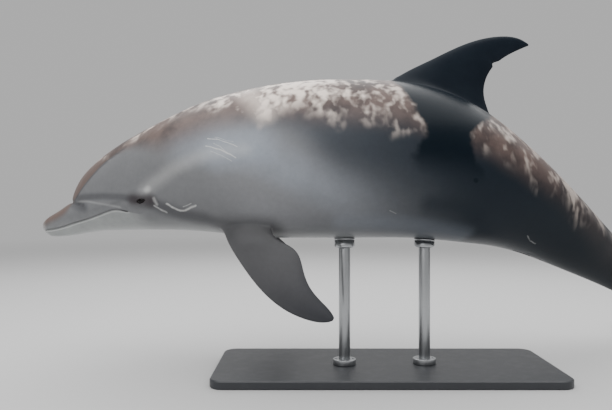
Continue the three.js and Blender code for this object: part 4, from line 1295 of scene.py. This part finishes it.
def skin_material(colours):
    """Painted skin: grey flanks, brown back, painted sunlight, pale jaw and belly, dark tail and fin, old
    scars.
    """
    paint = Paint("dolphin_skin_paint")
    chart = Chart(paint)
    broad = paint.noise(3.2, 3.0)
    patchy = paint.noise(11.0, 4.0, 0.6)
    fine = paint.noise(70.0, 5.0, 0.65)
    grain = paint.noise(420.0, 3.0, 0.6)
    wobble = (broad - 0.5) * 0.12 + (patchy - 0.5) * 0.05
    station = chart.along / BODY_LENGTH

    # The flank darkens towards the tail: partly darker skin, partly painted shade of the light falling off
    # along the body.
    rear = (station + (chart.height * 0.12 + wobble * 0.4)).rises(0.36, 0.52) ** 0.7
    far_rear = (station + chart.height * 0.1 + wobble * 0.3).rises(0.52, 0.76)
    dark = (paint.attribute("dark") + wobble * 0.3).rises(-0.095, 0.075)
    colour = paint.mix(station.rises(0.2, 0.3), colours.head, colours.flank)
    colour = paint.mix(paint.attribute("pale_shoulder") * 0.45, colour, colours.pale_band)
    colour = paint.mix(dark, colour, colours.middle_flank)
    colour = paint.mix(station.rises(0.26, 0.46) * 0.55, colour, colours.middle_flank)
    band = paint.attribute("pale_band") * (0.3 + patchy * 0.4) * station.rises(0.45, 0.29)
    colour = paint.mix(band, colour, colours.pale_band)
    colour = paint.mix(rear * (dark * 0.2 + 0.8), colour, colours.rear_flank)
    colour = paint.mix(far_rear, colour, colours.tail)
    colour = paint.mix(paint.attribute("pale_under") * 0.22, colour, colours.pale_band)
    colour = paint.mix(paint.attribute("dark_wedge") * 0.6, colour, colours.rear_flank)
    cape = (paint.attribute("cape") + wobble * station.rises(0.12, 0.2) * 9).rises(-1, 1)
    brown = paint.mix(patchy.rises(0.35, 0.7), colours.cape, colours.cape_dark)
    brown = paint.mix(station.rises(0.15, 0.05), brown, colours.beak)
    colour = paint.mix(cape * (1 - far_rear * 0.85) * 0.9, colour, brown)
    # Painted patches of sunlight on the back, in a pale warm colour.
    sunlight = painted_sunlight(paint) * (1 - rear * 0.55) * station.rises(0.86, 0.68)
    colour = paint.mix(sunlight, colour, colours.sunlit_back)
    # The dorsal fin's painted shadow, in the tail's colour, fading out at its foot.
    shadow = (paint.attribute("fin_shade") + (paint.noise(24.0, 2.0, 0.5) - 0.5) * 0.9).rises(0.25, 0.75)
    colour = paint.mix(shadow * chart.height.rises(-0.07, 0.025), colour, colours.tail)

    # The pale belly is painted greyer and fades out towards the tail: painted shade under the body.
    belly = (paint.attribute("belly") + wobble * 0.35).rises(-0.045, 0.04)
    belly = belly * 0.8 * station.rises(0.5, 0.27) * (1 - rear * 0.9)
    colour = paint.mix(belly, colour, colours.belly)
    jaw = (paint.attribute("jaw") + wobble * 0.03).rises(-0.0012, 0.003) * station.rises(0.15, 0.12)
    speckle = 0.35 + patchy * 0.35 + paint.noise(34.0, 3.0) * 0.5
    colour = paint.mix(jaw * speckle, colour, colours.jaw)
    colour = face_marks(paint, chart, colour, colours, patchy)
    # Flipper grey on the body round its root, partly painted shade where the flipper meets it.
    colour = paint.mix(paint.attribute("axilla") * 0.75, colour, colours.flipper)

    # Dark fin and flukes, their own dark grey deepened with painted shade.
    fin = paint.attribute("dorsal").rises(0.0, 0.16)
    fluke = paint.attribute("fluke").rises(0.0, 0.2)
    blade = paint.mix(patchy.rises(0.3, 0.8) * 0.6, colours.fin, colours.rear_flank)
    colour = paint.mix(fin.most(fluke), colour, blade)
    flipper = paint.attribute("flipper")
    palm = paint.mix(flipper.rises(0.25, 1.0), colours.flipper, colours.flipper_tip)
    colour = paint.mix(flipper.rises(0.0, 0.12), colour, palm)

    scars = old_scars(paint, chart)
    colour = paint.mix(scars, colour, colours.scar)
    spot = chart.stroke(*FLANK_SPOT) * 0.85 * chart.left.rises(-0.01, 0.01)
    colour = paint.mix(spot, colour, colours.tail)
    tone = 1.0 + (fine - 0.5) * 0.22 + (patchy - 0.5) * 0.22
    colour = paint.mix(1.0, colour, paint.joined(tone, tone, tone), "MULTIPLY")

    relief = fine * 0.35 + grain * 0.12 + patchy * 0.4 + scars * 0.5
    roughness = 0.36 + (fine - 0.5) * 0.18 + (patchy - 0.5) * 0.12 + scars * 0.12
    return paint.finish(
        Base_Color=colour, Roughness=roughness, Normal=paint.bump(relief, 0.0012, 0.5),
        Specular_IOR_Level=0.11, Coat_Weight=(1 - rear) * 0.09, Coat_Roughness=0.22,
    )


def painted_sunlight(paint):
    """Painted patches of sunlight along the top of the back, with a larger pale pool of it."""
    tall = paint.place(1.0, 1.0, 0.6)
    wide = paint.noise(6.0, 1.0, 0.5, tall)
    large = paint.noise(21.0, 1.0, 0.5, tall, 0.3)
    small = paint.noise(45.0, 1.5, 0.5, tall, 0.2)
    spots = ((small - 0.5) * 2.3 + (large - 0.5) * 2.2 + (wide - 0.5) * 1.5 + 0.38).rises(0.05, 0.98)
    hanging = paint.noise(15.0, 1.0, 0.5, paint.place(1.0, 1.0, 0.25))
    crest = (paint.attribute("sunlit_back") + (hanging - 0.5) * 0.14 + (large - 0.5) * 0.05).rises(-0.03, 0.05)
    return (crest * spots).most(paint.attribute("pale_back") * (0.25 + large * 0.55))


def face_marks(paint, chart, colour, colours, patchy):
    """Bands from the melon and the eye, the pale brow with its painted highlight, the dark edge of the eye,
    and painted shade in the crease and mouth.
    """
    for name, strength, coat in FACE_COATS:
        colour = paint.mix(paint.attribute(name) * strength, colour, getattr(colours, coat))
    # Painted shade in the crease between beak and melon.
    crease = paint.attribute("crease").rises(0.009, 0.001)
    colour = paint.mix(crease * 0.6, colour, colours.stripe)
    colour = paint.mix(chart.along.rises(0.028, 0.006) * patchy * 1.1, colour, colours.brow)
    mouth, over_lip = paint.attribute("mouth"), paint.attribute("jaw").rises(-0.001, 0.002)
    lip = mouth.rises(0.0075, 0.0045) * mouth.rises(0.0015, 0.003) * over_lip
    colour = paint.mix(lip * patchy * 0.6, colour, colours.brow)
    # Painted shade along the groove of the closed mouth.
    return paint.mix(mouth.rises(0.0036, 0.0009) * 0.95, colour, colours.mouth)


def old_scars(paint, chart):
    """Healed scratches on the left flank, as thin pale lines."""
    shake = paint.noise(42.0, 2.0, 0.5, chart.flat, output="Color")
    flat = paint.vector("ADD", chart.flat, paint.vector("SCALE", shake, scale=SCAR_SHAKE))
    flat = paint.vector("SUBTRACT", flat, (SCAR_SHAKE / 2,) * 3)
    mask = None
    for places, width, strength in SCARS:
        line = chart.line(places, width * SCAR_SPREAD, 1.0, flat) * strength
        mask = mask.most(line) if mask else line
    return mask * (0.45 + paint.noise(150.0, 3.0, 0.6) * 0.9) * chart.left.rises(0.0, 0.02)


# ---------------------------------------------------------------- eyes

def eyeball(eye):
    """A flattened ball with a low cornea, its local place kept for the iris."""
    rings, columns = EYEBALL_RINGS, EYEBALL_COLUMNS
    along, out, up = EYE_HALF_AXES
    tilt, turn = np.meshgrid(math.pi * np.arange(1, rings) / rings,
                             2 * math.pi * np.arange(columns) / columns, indexing="ij")
    ball = np.stack([np.sin(tilt) * np.cos(turn), np.sin(tilt) * np.sin(turn), np.cos(tilt)], -1)
    local = np.array([(0, 0, 1), *ball.reshape(-1, 3), (0, 0, -1)]) * (along, up, out)
    flat = np.hypot(local[:, 0], local[:, 1])
    local[:, 2] += np.where(local[:, 2] > 0, CORNEA_RISE * np.exp(-(flat / CORNEA_RADIUS) ** 4), 0)
    points = eye.centre + local[:, :1] * eye.back + local[:, 1:2] * eye.up + local[:, 2:] * eye.out
    faces = cap_faces(0, 1, columns)
    for i in range(rings - 2):
        faces += band_faces(1 + i * columns, 1 + (i + 1) * columns, columns)
    last = len(points) - 1
    faces += [face[::-1] for face in cap_faces(last, last - columns, columns)]
    mesh = closed_mesh(points, faces)
    keep(mesh, "gaze", local)
    return mesh


def cap_faces(tip, first, columns):
    return [(tip, a, b) for a, b in ring_pairs(range(first, first + columns))]


def band_faces(upper, lower, columns):
    top, bottom = [ring_pairs(range(first, first + columns)) for first in (upper, lower)]
    return [(a, c, d, b) for (a, b), (c, d) in zip(top, bottom)]


def closed_mesh(points, faces):
    """A mesh whose faces point outwards."""
    mesh = bpy.data.meshes.new("piece")
    mesh.from_pydata([tuple(map(float, point)) for point in points], [], faces)
    return reworked(mesh, lambda work: bmesh.ops.recalc_face_normals(work, faces=work.faces))


def eye_material(settings):
    """A wet dark eye: an oval pupil in a brown iris with fine spokes."""
    paint = Paint("eye_gloss")
    across, rise = paint.parts(paint.attribute("gaze", "Vector"), 2)
    radius = (across ** 2 + rise ** 2) ** 0.5 / settings.iris_radius
    pupil = (across / settings.pupil_half_length) ** 2 + (rise / settings.pupil_half_height) ** 2
    turn = across.math("ARCTAN2", rise, across)
    spokes = paint.noise(2.5, 4.0, 0.5, paint.joined(turn * 7.0, radius * 1.5))
    iris = paint.mix(spokes.rises(0.3, 0.75), settings.iris_rim, settings.iris)
    iris = paint.mix(radius.rises(0.7, 0.98), iris, settings.iris_rim)
    white = paint.mix(paint.noise(600.0, 3.0) * 0.5, settings.white, settings.iris_rim)
    colour = paint.mix(radius.rises(1.0, 1.1), iris, white)
    colour = paint.mix((pupil ** 0.5).rises(1.08, 0.94), colour, shade(4, 4, 6))
    return paint.finish(
        Base_Color=colour, Roughness=0.25, Specular_IOR_Level=0.08, Coat_Weight=0.2, Coat_Roughness=0.03,
    )


# ---------------------------------------------------------------- the stand

def base_material(settings):
    """Satin paint with a fine orange peel and faint wear."""
    paint = Paint("base_satin_paint")
    peel = paint.noise(900.0, 2.0)
    wear = paint.noise(26.0, 6.0, 0.7)
    streak = paint.noise(6.0, 2.0)
    light = paint.mix(0.35, settings.base, shade(120, 122, 126))
    colour = paint.mix(wear.rises(0.5, 0.75) * 0.22, settings.base, light)
    colour = paint.mix(streak.rises(0.35, 0.7) * 0.15, colour, shade(34, 36, 40))
    return paint.finish(
        Base_Color=colour, Roughness=0.38 + (wear - 0.5) * 0.25, Normal=paint.bump(peel, 0.0003, 0.35),
        Specular_IOR_Level=0.45,
    )


def steel_material(settings):
    """Steel brushed round its axis."""
    paint = Paint("brushed_steel_finish")
    rings = paint.noise(1.0, 4.0, 0.7, paint.place(40.0, 40.0, 900.0))
    smudge = paint.noise(16.0, 4.0)
    tone = paint.mix(rings.rises(0.25, 0.75), [c * 0.93 for c in settings.steel], settings.steel)
    colour = paint.mix((smudge - 0.45) * 0.2, tone, shade(120, 121, 124))
    roughness = 0.3 + (rings - 0.5) * 0.1 + (smudge - 0.5) * 0.08
    return paint.finish(
        Base_Color=colour, Metallic=1.0, Roughness=roughness, Normal=paint.bump(rings, 0.0001, 0.12),
    )


def rubber_material(settings):
    """Matt rubber with a fine speckle."""
    paint = Paint("pad_rubber")
    speckle = paint.noise(900.0, 3.0)
    return paint.finish(
        Base_Color=paint.mix(speckle, settings.rubber, shade(44, 44, 46)),
        Roughness=0.8 + (speckle - 0.5) * 0.2, Normal=paint.bump(speckle, 0.0003, 0.4),
    )


def turned(profile, centre, lift=None):
    """Points and faces of a solid turned from (radius, height) steps; lift raises chosen rings."""
    points, faces = [], []
    turns = 2 * math.pi * np.arange(TURNED_SIDES) / TURNED_SIDES
    for k, (radius, height) in enumerate(profile):
        x = centre[0] + radius * np.cos(turns)
        y = centre[1] + radius * np.sin(turns)
        z = lift(x, y, height) if lift else np.full(TURNED_SIDES, height)
        points.extend(zip(x, y, z))
        if k:
            faces += band_faces((k - 1) * TURNED_SIDES, k * TURNED_SIDES, TURNED_SIDES)
    for first, step in ((0, 1), ((len(profile) - 1) * TURNED_SIDES, -1)):
        tip = len(points)
        points.append(tuple(np.mean(points[first:first + TURNED_SIDES], axis=0)))
        faces += [face[::step] for face in cap_faces(tip, first, TURNED_SIDES)]
    return points, faces


def rounded(radius, low, high, edge):
    """A turned cylinder's profile with small rounded edges."""
    turns = np.radians([0, 30, 60, 90])
    lower = [(radius - edge + edge * math.sin(t), low + edge - edge * math.cos(t)) for t in turns]
    upper = [(radius - edge + edge * math.cos(t), high - edge + edge * math.sin(t)) for t in turns]
    return lower + upper


def upright(part, end):
    """Axis, radius and lowest and highest points of one round part of a post."""
    low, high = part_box(f"stand_{part}_{end}")
    return ((low.x + high.x) / 2, (low.y + high.y) / 2), (high.x - low.x) / 2, low.z, high.z


def post_mesh(belly, end, settings):
    """One post: collar, rod, cup and the rubber pad under the belly."""
    shells = []
    for part, edge in (("collar", COLLAR_EDGE), ("rod", ROD_EDGE)):
        centre, radius, low, high = upright(part, end)
        shells.append((*turned(rounded(radius, low, high, edge), centre), 0))
    _, cup, floor, _ = upright("cup", end)
    inner, outer = cup - PAD_WALL, cup + PAD_PROUD
    pad = settings.pad_thickness
    base = rounded(cup, floor, floor + CUP_FOOT, CUP_EDGE)[:4]
    cup_steps = base + [(cup, AT_BELLY), (cup - CUP_BEVEL, AT_BELLY)]
    pad_steps = [(inner, AT_PAD_FOOT), (outer, AT_PAD_FOOT), (outer, AT_BELLY), (inner, AT_BELLY)]
    gaps = {AT_PAD_FOOT: pad + PAD_SEAT}
    shells.append((*turned(cup_steps, centre, fitted(belly, floor, {AT_BELLY: pad})), 0))
    shells.append((*turned(pad_steps, centre, fitted(belly, floor, {**gaps, AT_BELLY: PAD_GAP})), 1))
    return joined(shells)


def fitted(belly, floor, gaps):
    """Puts a profile's marked rings this far below the belly, point by point, and leaves the others."""
    def lift(x, y, height):
        if height not in gaps:
            return np.full(len(x), height)
        up = Vector((0, 0, 1))
        hits = [belly.ray_cast(Vector((a, b, floor - RAY_START)), up)[0] for a, b in zip(x, y)]
        return np.array([hit.z - gaps[height] for hit in hits])
    return lift


def joined(shells):
    """One mesh from shells of points, faces and a material's place."""
    points, faces, kinds = [], [], []
    for shell_points, shell_faces, kind in shells:
        first = len(points)
        points.extend(shell_points)
        faces.extend(tuple(first + p for p in face) for face in shell_faces)
        kinds.extend([kind] * len(shell_faces))
    mesh = closed_mesh(points, faces)
    mesh.polygons.foreach_set("material_index", kinds)
    return mesh


def screw_ring(end, settings, material):
    """Geometry nodes set round screw heads in a ring on the collar's top."""
    centre, collar, _, top = upright("collar", end)
    rod = upright("rod", end)[1]
    height = settings.screw_radius * SCREW_HEIGHT
    given = {
        "Ring radius": ("Float", (collar + rod) / 2),
        "Head radius": ("Float", settings.screw_radius),
        "Head height": ("Float", height),
        "Centre": ("Vector", (*centre, top + height / 2 - SCREW_SUNK)),
        "Screws": ("Int", settings.screws),
        "Finish": ("Material", material),
    }
    tree = bpy.data.node_groups.new("screw_ring", "GeometryNodeTree")
    holder = linked("screws_in_making", bpy.data.meshes.new("screws_in_making"))
    modifier = holder.modifiers.new("ring", "NODES")
    new_socket = tree.interface.new_socket
    places = {name: new_socket(name, in_out="INPUT", socket_type="NodeSocket" + kind).identifier
              for name, (kind, _) in given.items()}
    new_socket("Geometry", in_out="OUTPUT", socket_type="NodeSocketGeometry")

    def node(kind, **sockets):
        """One node, its sockets given values or links, and its first output."""
        made = tree.nodes.new(kind)
        for name, value in sockets.items():
            if isinstance(value, bpy.types.NodeSocket):
                tree.links.new(value, made.inputs[name])
            else:
                made.inputs[name].default_value = value
        return made.outputs[0] if made.outputs else None

    asked = tree.nodes.new("NodeGroupInput").outputs
    ring = node("GeometryNodeMeshCircle", Vertices=asked["Screws"], Radius=asked["Ring radius"])
    head = node("GeometryNodeMeshCylinder", Vertices=SCREW_SIDES, Radius=asked["Head radius"],
                Depth=asked["Head height"])
    heads = node("GeometryNodeInstanceOnPoints", Points=ring, Instance=head)
    moved = node("GeometryNodeTransform", Geometry=heads, Translation=asked["Centre"])
    real = node("GeometryNodeRealizeInstances", Geometry=moved)
    finished = node("GeometryNodeSetMaterial", Geometry=real, Material=asked["Finish"])
    node("NodeGroupOutput", Geometry=finished)
    modifier.node_group = tree
    for name, (_, value) in given.items():
        modifier[places[name]] = value
    return plain_mesh(holder)


# ---------------------------------------------------------------- the stage and the add-on

def colour_property(name, description, *screen):
    return FloatVectorProperty(
        name=name, description=description, subtype="COLOR", size=3, min=0.0, max=1.0, default=shade(*screen),
    )


def length_property(name, description, default):
    return FloatProperty(name=name, description=description, default=default, min=0.0, unit="LENGTH")


class SkinSettings(bpy.types.PropertyGroup):
    """Sizes of the skin's fine forms."""

    mouth_depth: length_property("Mouth depth", "Depth of the closed mouth's line", 0.0032)
    mouth_width: length_property("Mouth width", "Half width of the closed mouth's line", 0.0024)
    crease_depth: length_property("Crease depth", "Depth of the fold between beak and melon", 0.003)
    eye_opening_length: length_property("Eye length", "Length of the opening between the lids", 0.028)
    eye_opening_height: length_property("Eye height", "Height of the opening between the lids", 0.013)


class PaintSettings(bpy.types.PropertyGroup):
    """Colours of the skin."""

    head: colour_property("Head", "Melon and cheeks", 112, 113, 115)
    beak: colour_property("Beak", "Top of the beak and front of the melon", 104, 88, 82)
    flank: colour_property("Flank", "Shoulder and front flank", 128, 129, 132)
    # The middle flank, rear flank and tail colours hold painted shade as well as the skin's own darker grey.
    middle_flank: colour_property("Middle flank", "Flank over the ribs", 66, 70, 76)
    pale_band: colour_property("Pale band", "Band from the shoulder to the belly", 152, 160, 171)
    rear_flank: colour_property("Rear flank", "Flank behind the ribs", 26, 34, 42)
    tail: colour_property("Tail", "Tail stock", 6, 18, 27)
    cape: colour_property("Cape", "Top of the back", 106, 89, 83)
    cape_dark: colour_property("Dark cape", "Darker patches of the back", 66, 56, 54)
    # Colour of the painted patches of sunlight on the back.
    sunlit_back: colour_property("Dapples", "Pale mottling on the back", 234, 220, 209)
    # Greyer than the skin's own pale: painted shade of the underside.
    belly: colour_property("Belly", "Underside", 146, 148, 148)
    jaw: colour_property("Jaw", "Lower jaw and throat", 158, 161, 160)
    # Also the colour of painted shade where the beak narrows and in the crease.
    stripe: colour_property("Stripe", "Dark bands of the face", 62, 62, 66)
    # Also the colour of the brow's painted highlight.
    brow: colour_property("Brow", "Pale brow and streak", 206, 206, 205)
    eye_patch: colour_property("Eye patch", "Dark skin round the eye", 56, 50, 53)
    # Painted shade in the groove of the closed mouth.
    mouth: colour_property("Mouth", "Line of the closed mouth", 34, 30, 32)
    # Dark skin deepened with painted shade.
    fin: colour_property("Fin", "Dorsal fin and flukes", 18, 26, 35)
    flipper: colour_property("Flipper", "Flipper near the body", 82, 82, 84)
    flipper_tip: colour_property("Flipper tip", "End of the flipper", 52, 53, 57)
    scar: colour_property("Scar", "Healed scratches", 208, 208, 206)


class EyeSettings(bpy.types.PropertyGroup):
    """Colours and sizes of the eyes."""

    iris: colour_property("Iris", "Main colour of the iris", 34, 23, 19)
    iris_rim: colour_property("Iris rim", "Dark rim of the iris", 9, 8, 10)
    white: colour_property("White", "The part of the eyeball past the iris", 48, 42, 42)
    iris_radius: length_property("Iris radius", "Radius of the iris", 0.0092)
    pupil_half_length: length_property("Pupil length", "Half length of the pupil", 0.0052)
    pupil_half_height: length_property("Pupil height", "Half height of the pupil", 0.0034)


class StandSettings(bpy.types.PropertyGroup):
    """Colours and sizes of the display stand."""

    base: colour_property("Base", "Painted base", 48, 50, 54)
    steel: colour_property("Steel", "Brushed rods, collars and cups", 178, 180, 182)
    rubber: colour_property("Rubber", "Pads between the cups and the belly", 28, 28, 30)
    pad_thickness: length_property("Pad", "Thickness of the pads under the belly", 0.006)
    screw_radius: length_property("Screw radius", "Radius of the collar screws' heads", 0.0038)
    screws: IntProperty(name="Screws", description="Screws in each collar", default=4, min=1)


class StageSettings(bpy.types.PropertyGroup):
    """Floor, lights and camera."""

    room: colour_property("Room", "Even light all round", 236, 236, 236)
    floor: colour_property("Floor", "Plain floor", 196, 196, 196)
    key_power: FloatProperty(name="Key light", description="Power of the light over the camera", default=80.0)
    top_power: FloatProperty(name="Top light", description="Power of the light over the back", default=300.0)
    room_strength: FloatProperty(name="Room light", description="Strength of the even light", default=0.62)
    focal_length: FloatProperty(name="Focal length", description="Camera's focal length, mm", default=37.647)


def add_piece(name, mesh, material, slot, *nodes):
    mesh.name = name
    mesh.materials.clear()
    mesh.materials.append(material)
    mesh.shade_smooth()
    piece = linked(name, mesh)
    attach(piece, "root")
    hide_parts(*nodes)
    return piece


class DOLPHIN_OT_skin(bpy.types.Operator):
    """Grow the skin of the body, fins and flukes"""

    bl_idname = "dolphin.skin"
    bl_label = "Skin"

    def execute(self, context):
        settings = context.scene.dolphin_skin
        spine = Spine(BODY_LENGTH)
        mesh = grow_skin(spine, settings)
        skin = Skin(mesh, spine)
        shape_skin(skin, settings)
        store_charts(skin)
        add_piece("dolphin_skin", mesh, skin_material(context.scene.dolphin_paint), "skin", *FLESH)
        return {"FINISHED"}


class DOLPHIN_OT_eyes(bpy.types.Operator):
    """Set the eyeballs behind the lids"""

    bl_idname = "dolphin.eyes"
    bl_label = "Eyes"

    def execute(self, context):
        spine = Spine(BODY_LENGTH)
        material = eye_material(context.scene.dolphin_eyes)
        for side, name in ((1, "eye_left"), (-1, "eye_right")):
            add_piece(name + "_ball", eyeball(EyeFrame(spine, side)), material, "eye", name)
        return {"FINISHED"}


class DOLPHIN_OT_stand(bpy.types.Operator):
    """Finish the base and turn the posts, their cups cut to the belly"""

    bl_idname = "dolphin.stand"
    bl_label = "Stand"

    def execute(self, context):
        settings = context.scene.dolphin_stand
        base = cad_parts["stand_base"]
        base.data.materials.clear()
        base.data.materials.append(base_material(settings))
        steel, rubber = steel_material(settings), rubber_material(settings)
        skin = bpy.data.objects["dolphin_skin"]
        belly = BVHTree.FromObject(skin, context.evaluated_depsgraph_get())
        for end in POSTS:
            nodes = [f"stand_{part}_{end}" for part in ("rod", "collar", "cup")]
            post = add_piece(f"stand_post_{end}", post_mesh(belly, end, settings), steel, "rod_steel", *nodes)
            post.data.materials.append(rubber)
        return {"FINISHED"}


class DOLPHIN_OT_screws(bpy.types.Operator):
    """Set a ring of small screws in each collar"""

    bl_idname = "dolphin.screws"
    bl_label = "Collar screws"

    def execute(self, context):
        settings = context.scene.dolphin_stand
        material = bpy.data.materials["brushed_steel_finish"]
        for end in POSTS:
            mesh = screw_ring(end, settings, material)
            add_piece(f"stand_screws_{end}", mesh, material, "rod_steel")
        return {"FINISHED"}


class DOLPHIN_OT_stage(bpy.types.Operator):
    """Set the floor, lights and camera"""

    bl_idname = "dolphin.stage"
    bl_label = "Stage"

    def execute(self, context):
        settings = context.scene.dolphin_stage
        camera = linked("camera", bpy.data.cameras.new("camera"))
        camera.data.sensor_width = SENSOR_WIDTH
        camera.data.lens = settings.focal_length
        camera.location = CAMERA_PLACE
        camera.rotation_euler = (math.pi / 2, 0, 0)
        context.scene.camera = camera
        half = FLOOR_SIZE / 2
        mesh = bpy.data.meshes.new("floor")
        corners = [(-half, -half, 0), (half, -half, 0), (half, half, 0), (-half, half, 0)]
        mesh.from_pydata(corners, [], [(0, 1, 2, 3)])
        mesh.materials.append(floor_material(settings))
        linked("floor", mesh)
        for (name, place, aim, size), power in zip(LAMPS, (settings.key_power, settings.top_power)):
            lamp = linked(name, bpy.data.lights.new(name, "AREA"))
            lamp.data.size = size
            lamp.data.energy = power
            lamp.location = place
            lamp.rotation_euler = (Vector(aim) - Vector(place)).to_track_quat("-Z", "Y").to_euler()
        world = bpy.data.worlds.new("studio")
        world.use_nodes = True
        background = world.node_tree.nodes["Background"]
        background.inputs["Color"].default_value = opaque(settings.room)
        background.inputs["Strength"].default_value = settings.room_strength
        context.scene.world = world
        return {"FINISHED"}


def floor_material(settings):
    """A plain floor that fades into the colour of the room far from the object."""
    paint = Paint("plain_floor")
    colour = paint.mix(paint.noise(0.6, 2.0) * 0.06, settings.floor, shade(180, 180, 182))
    near = paint.node("ShaderNodeBsdfPrincipled", {}, {"Base Color": colour, "Roughness": 0.7})
    light = {"Color": opaque(settings.room), "Strength": settings.room_strength}
    haze = paint.node("ShaderNodeEmission", {}, light)
    far = paint.vector("LENGTH", paint.place(), output="Value").rises(*FLOOR_FADE)
    surface = paint.node("ShaderNodeMixShader", {}, {0: far, 1: near, 2: haze})
    paint.node("ShaderNodeOutputMaterial", {}, {"Surface": surface})
    return paint.material


SETTINGS = {
    "dolphin_skin": SkinSettings, "dolphin_paint": PaintSettings, "dolphin_eyes": EyeSettings,
    "dolphin_stand": StandSettings, "dolphin_stage": StageSettings,
}
OPERATORS = (DOLPHIN_OT_skin, DOLPHIN_OT_eyes, DOLPHIN_OT_stand, DOLPHIN_OT_screws, DOLPHIN_OT_stage)


class DOLPHIN_PT_panel(bpy.types.Panel):
    """Builders and settings of the dolphin"""

    bl_idname = "DOLPHIN_PT_panel"
    bl_label = "Dolphin"
    bl_space_type = "VIEW_3D"
    bl_region_type = "UI"
    bl_category = "Dolphin"

    def draw(self, context):
        for operator in OPERATORS:
            self.layout.operator(operator.bl_idname)
        for name, group in SETTINGS.items():
            box = self.layout.box()
            for setting in group.__annotations__:
                box.prop(getattr(context.scene, name), setting)


CLASSES = (*SETTINGS.values(), *OPERATORS, DOLPHIN_PT_panel)


def register():
    for cls in CLASSES:
        bpy.utils.register_class(cls)
    for name, group in SETTINGS.items():
        setattr(bpy.types.Scene, name, PointerProperty(type=group))


def unregister():
    for name in SETTINGS:
        delattr(bpy.types.Scene, name)
    for cls in reversed(CLASSES):
        bpy.utils.unregister_class(cls)


def main():
    register()
    bpy.ops.dolphin.skin()
    bpy.ops.dolphin.eyes()
    bpy.ops.dolphin.stand()
    bpy.ops.dolphin.screws()
    bpy.ops.dolphin.stage()


if __name__ == "__main__":
    main()
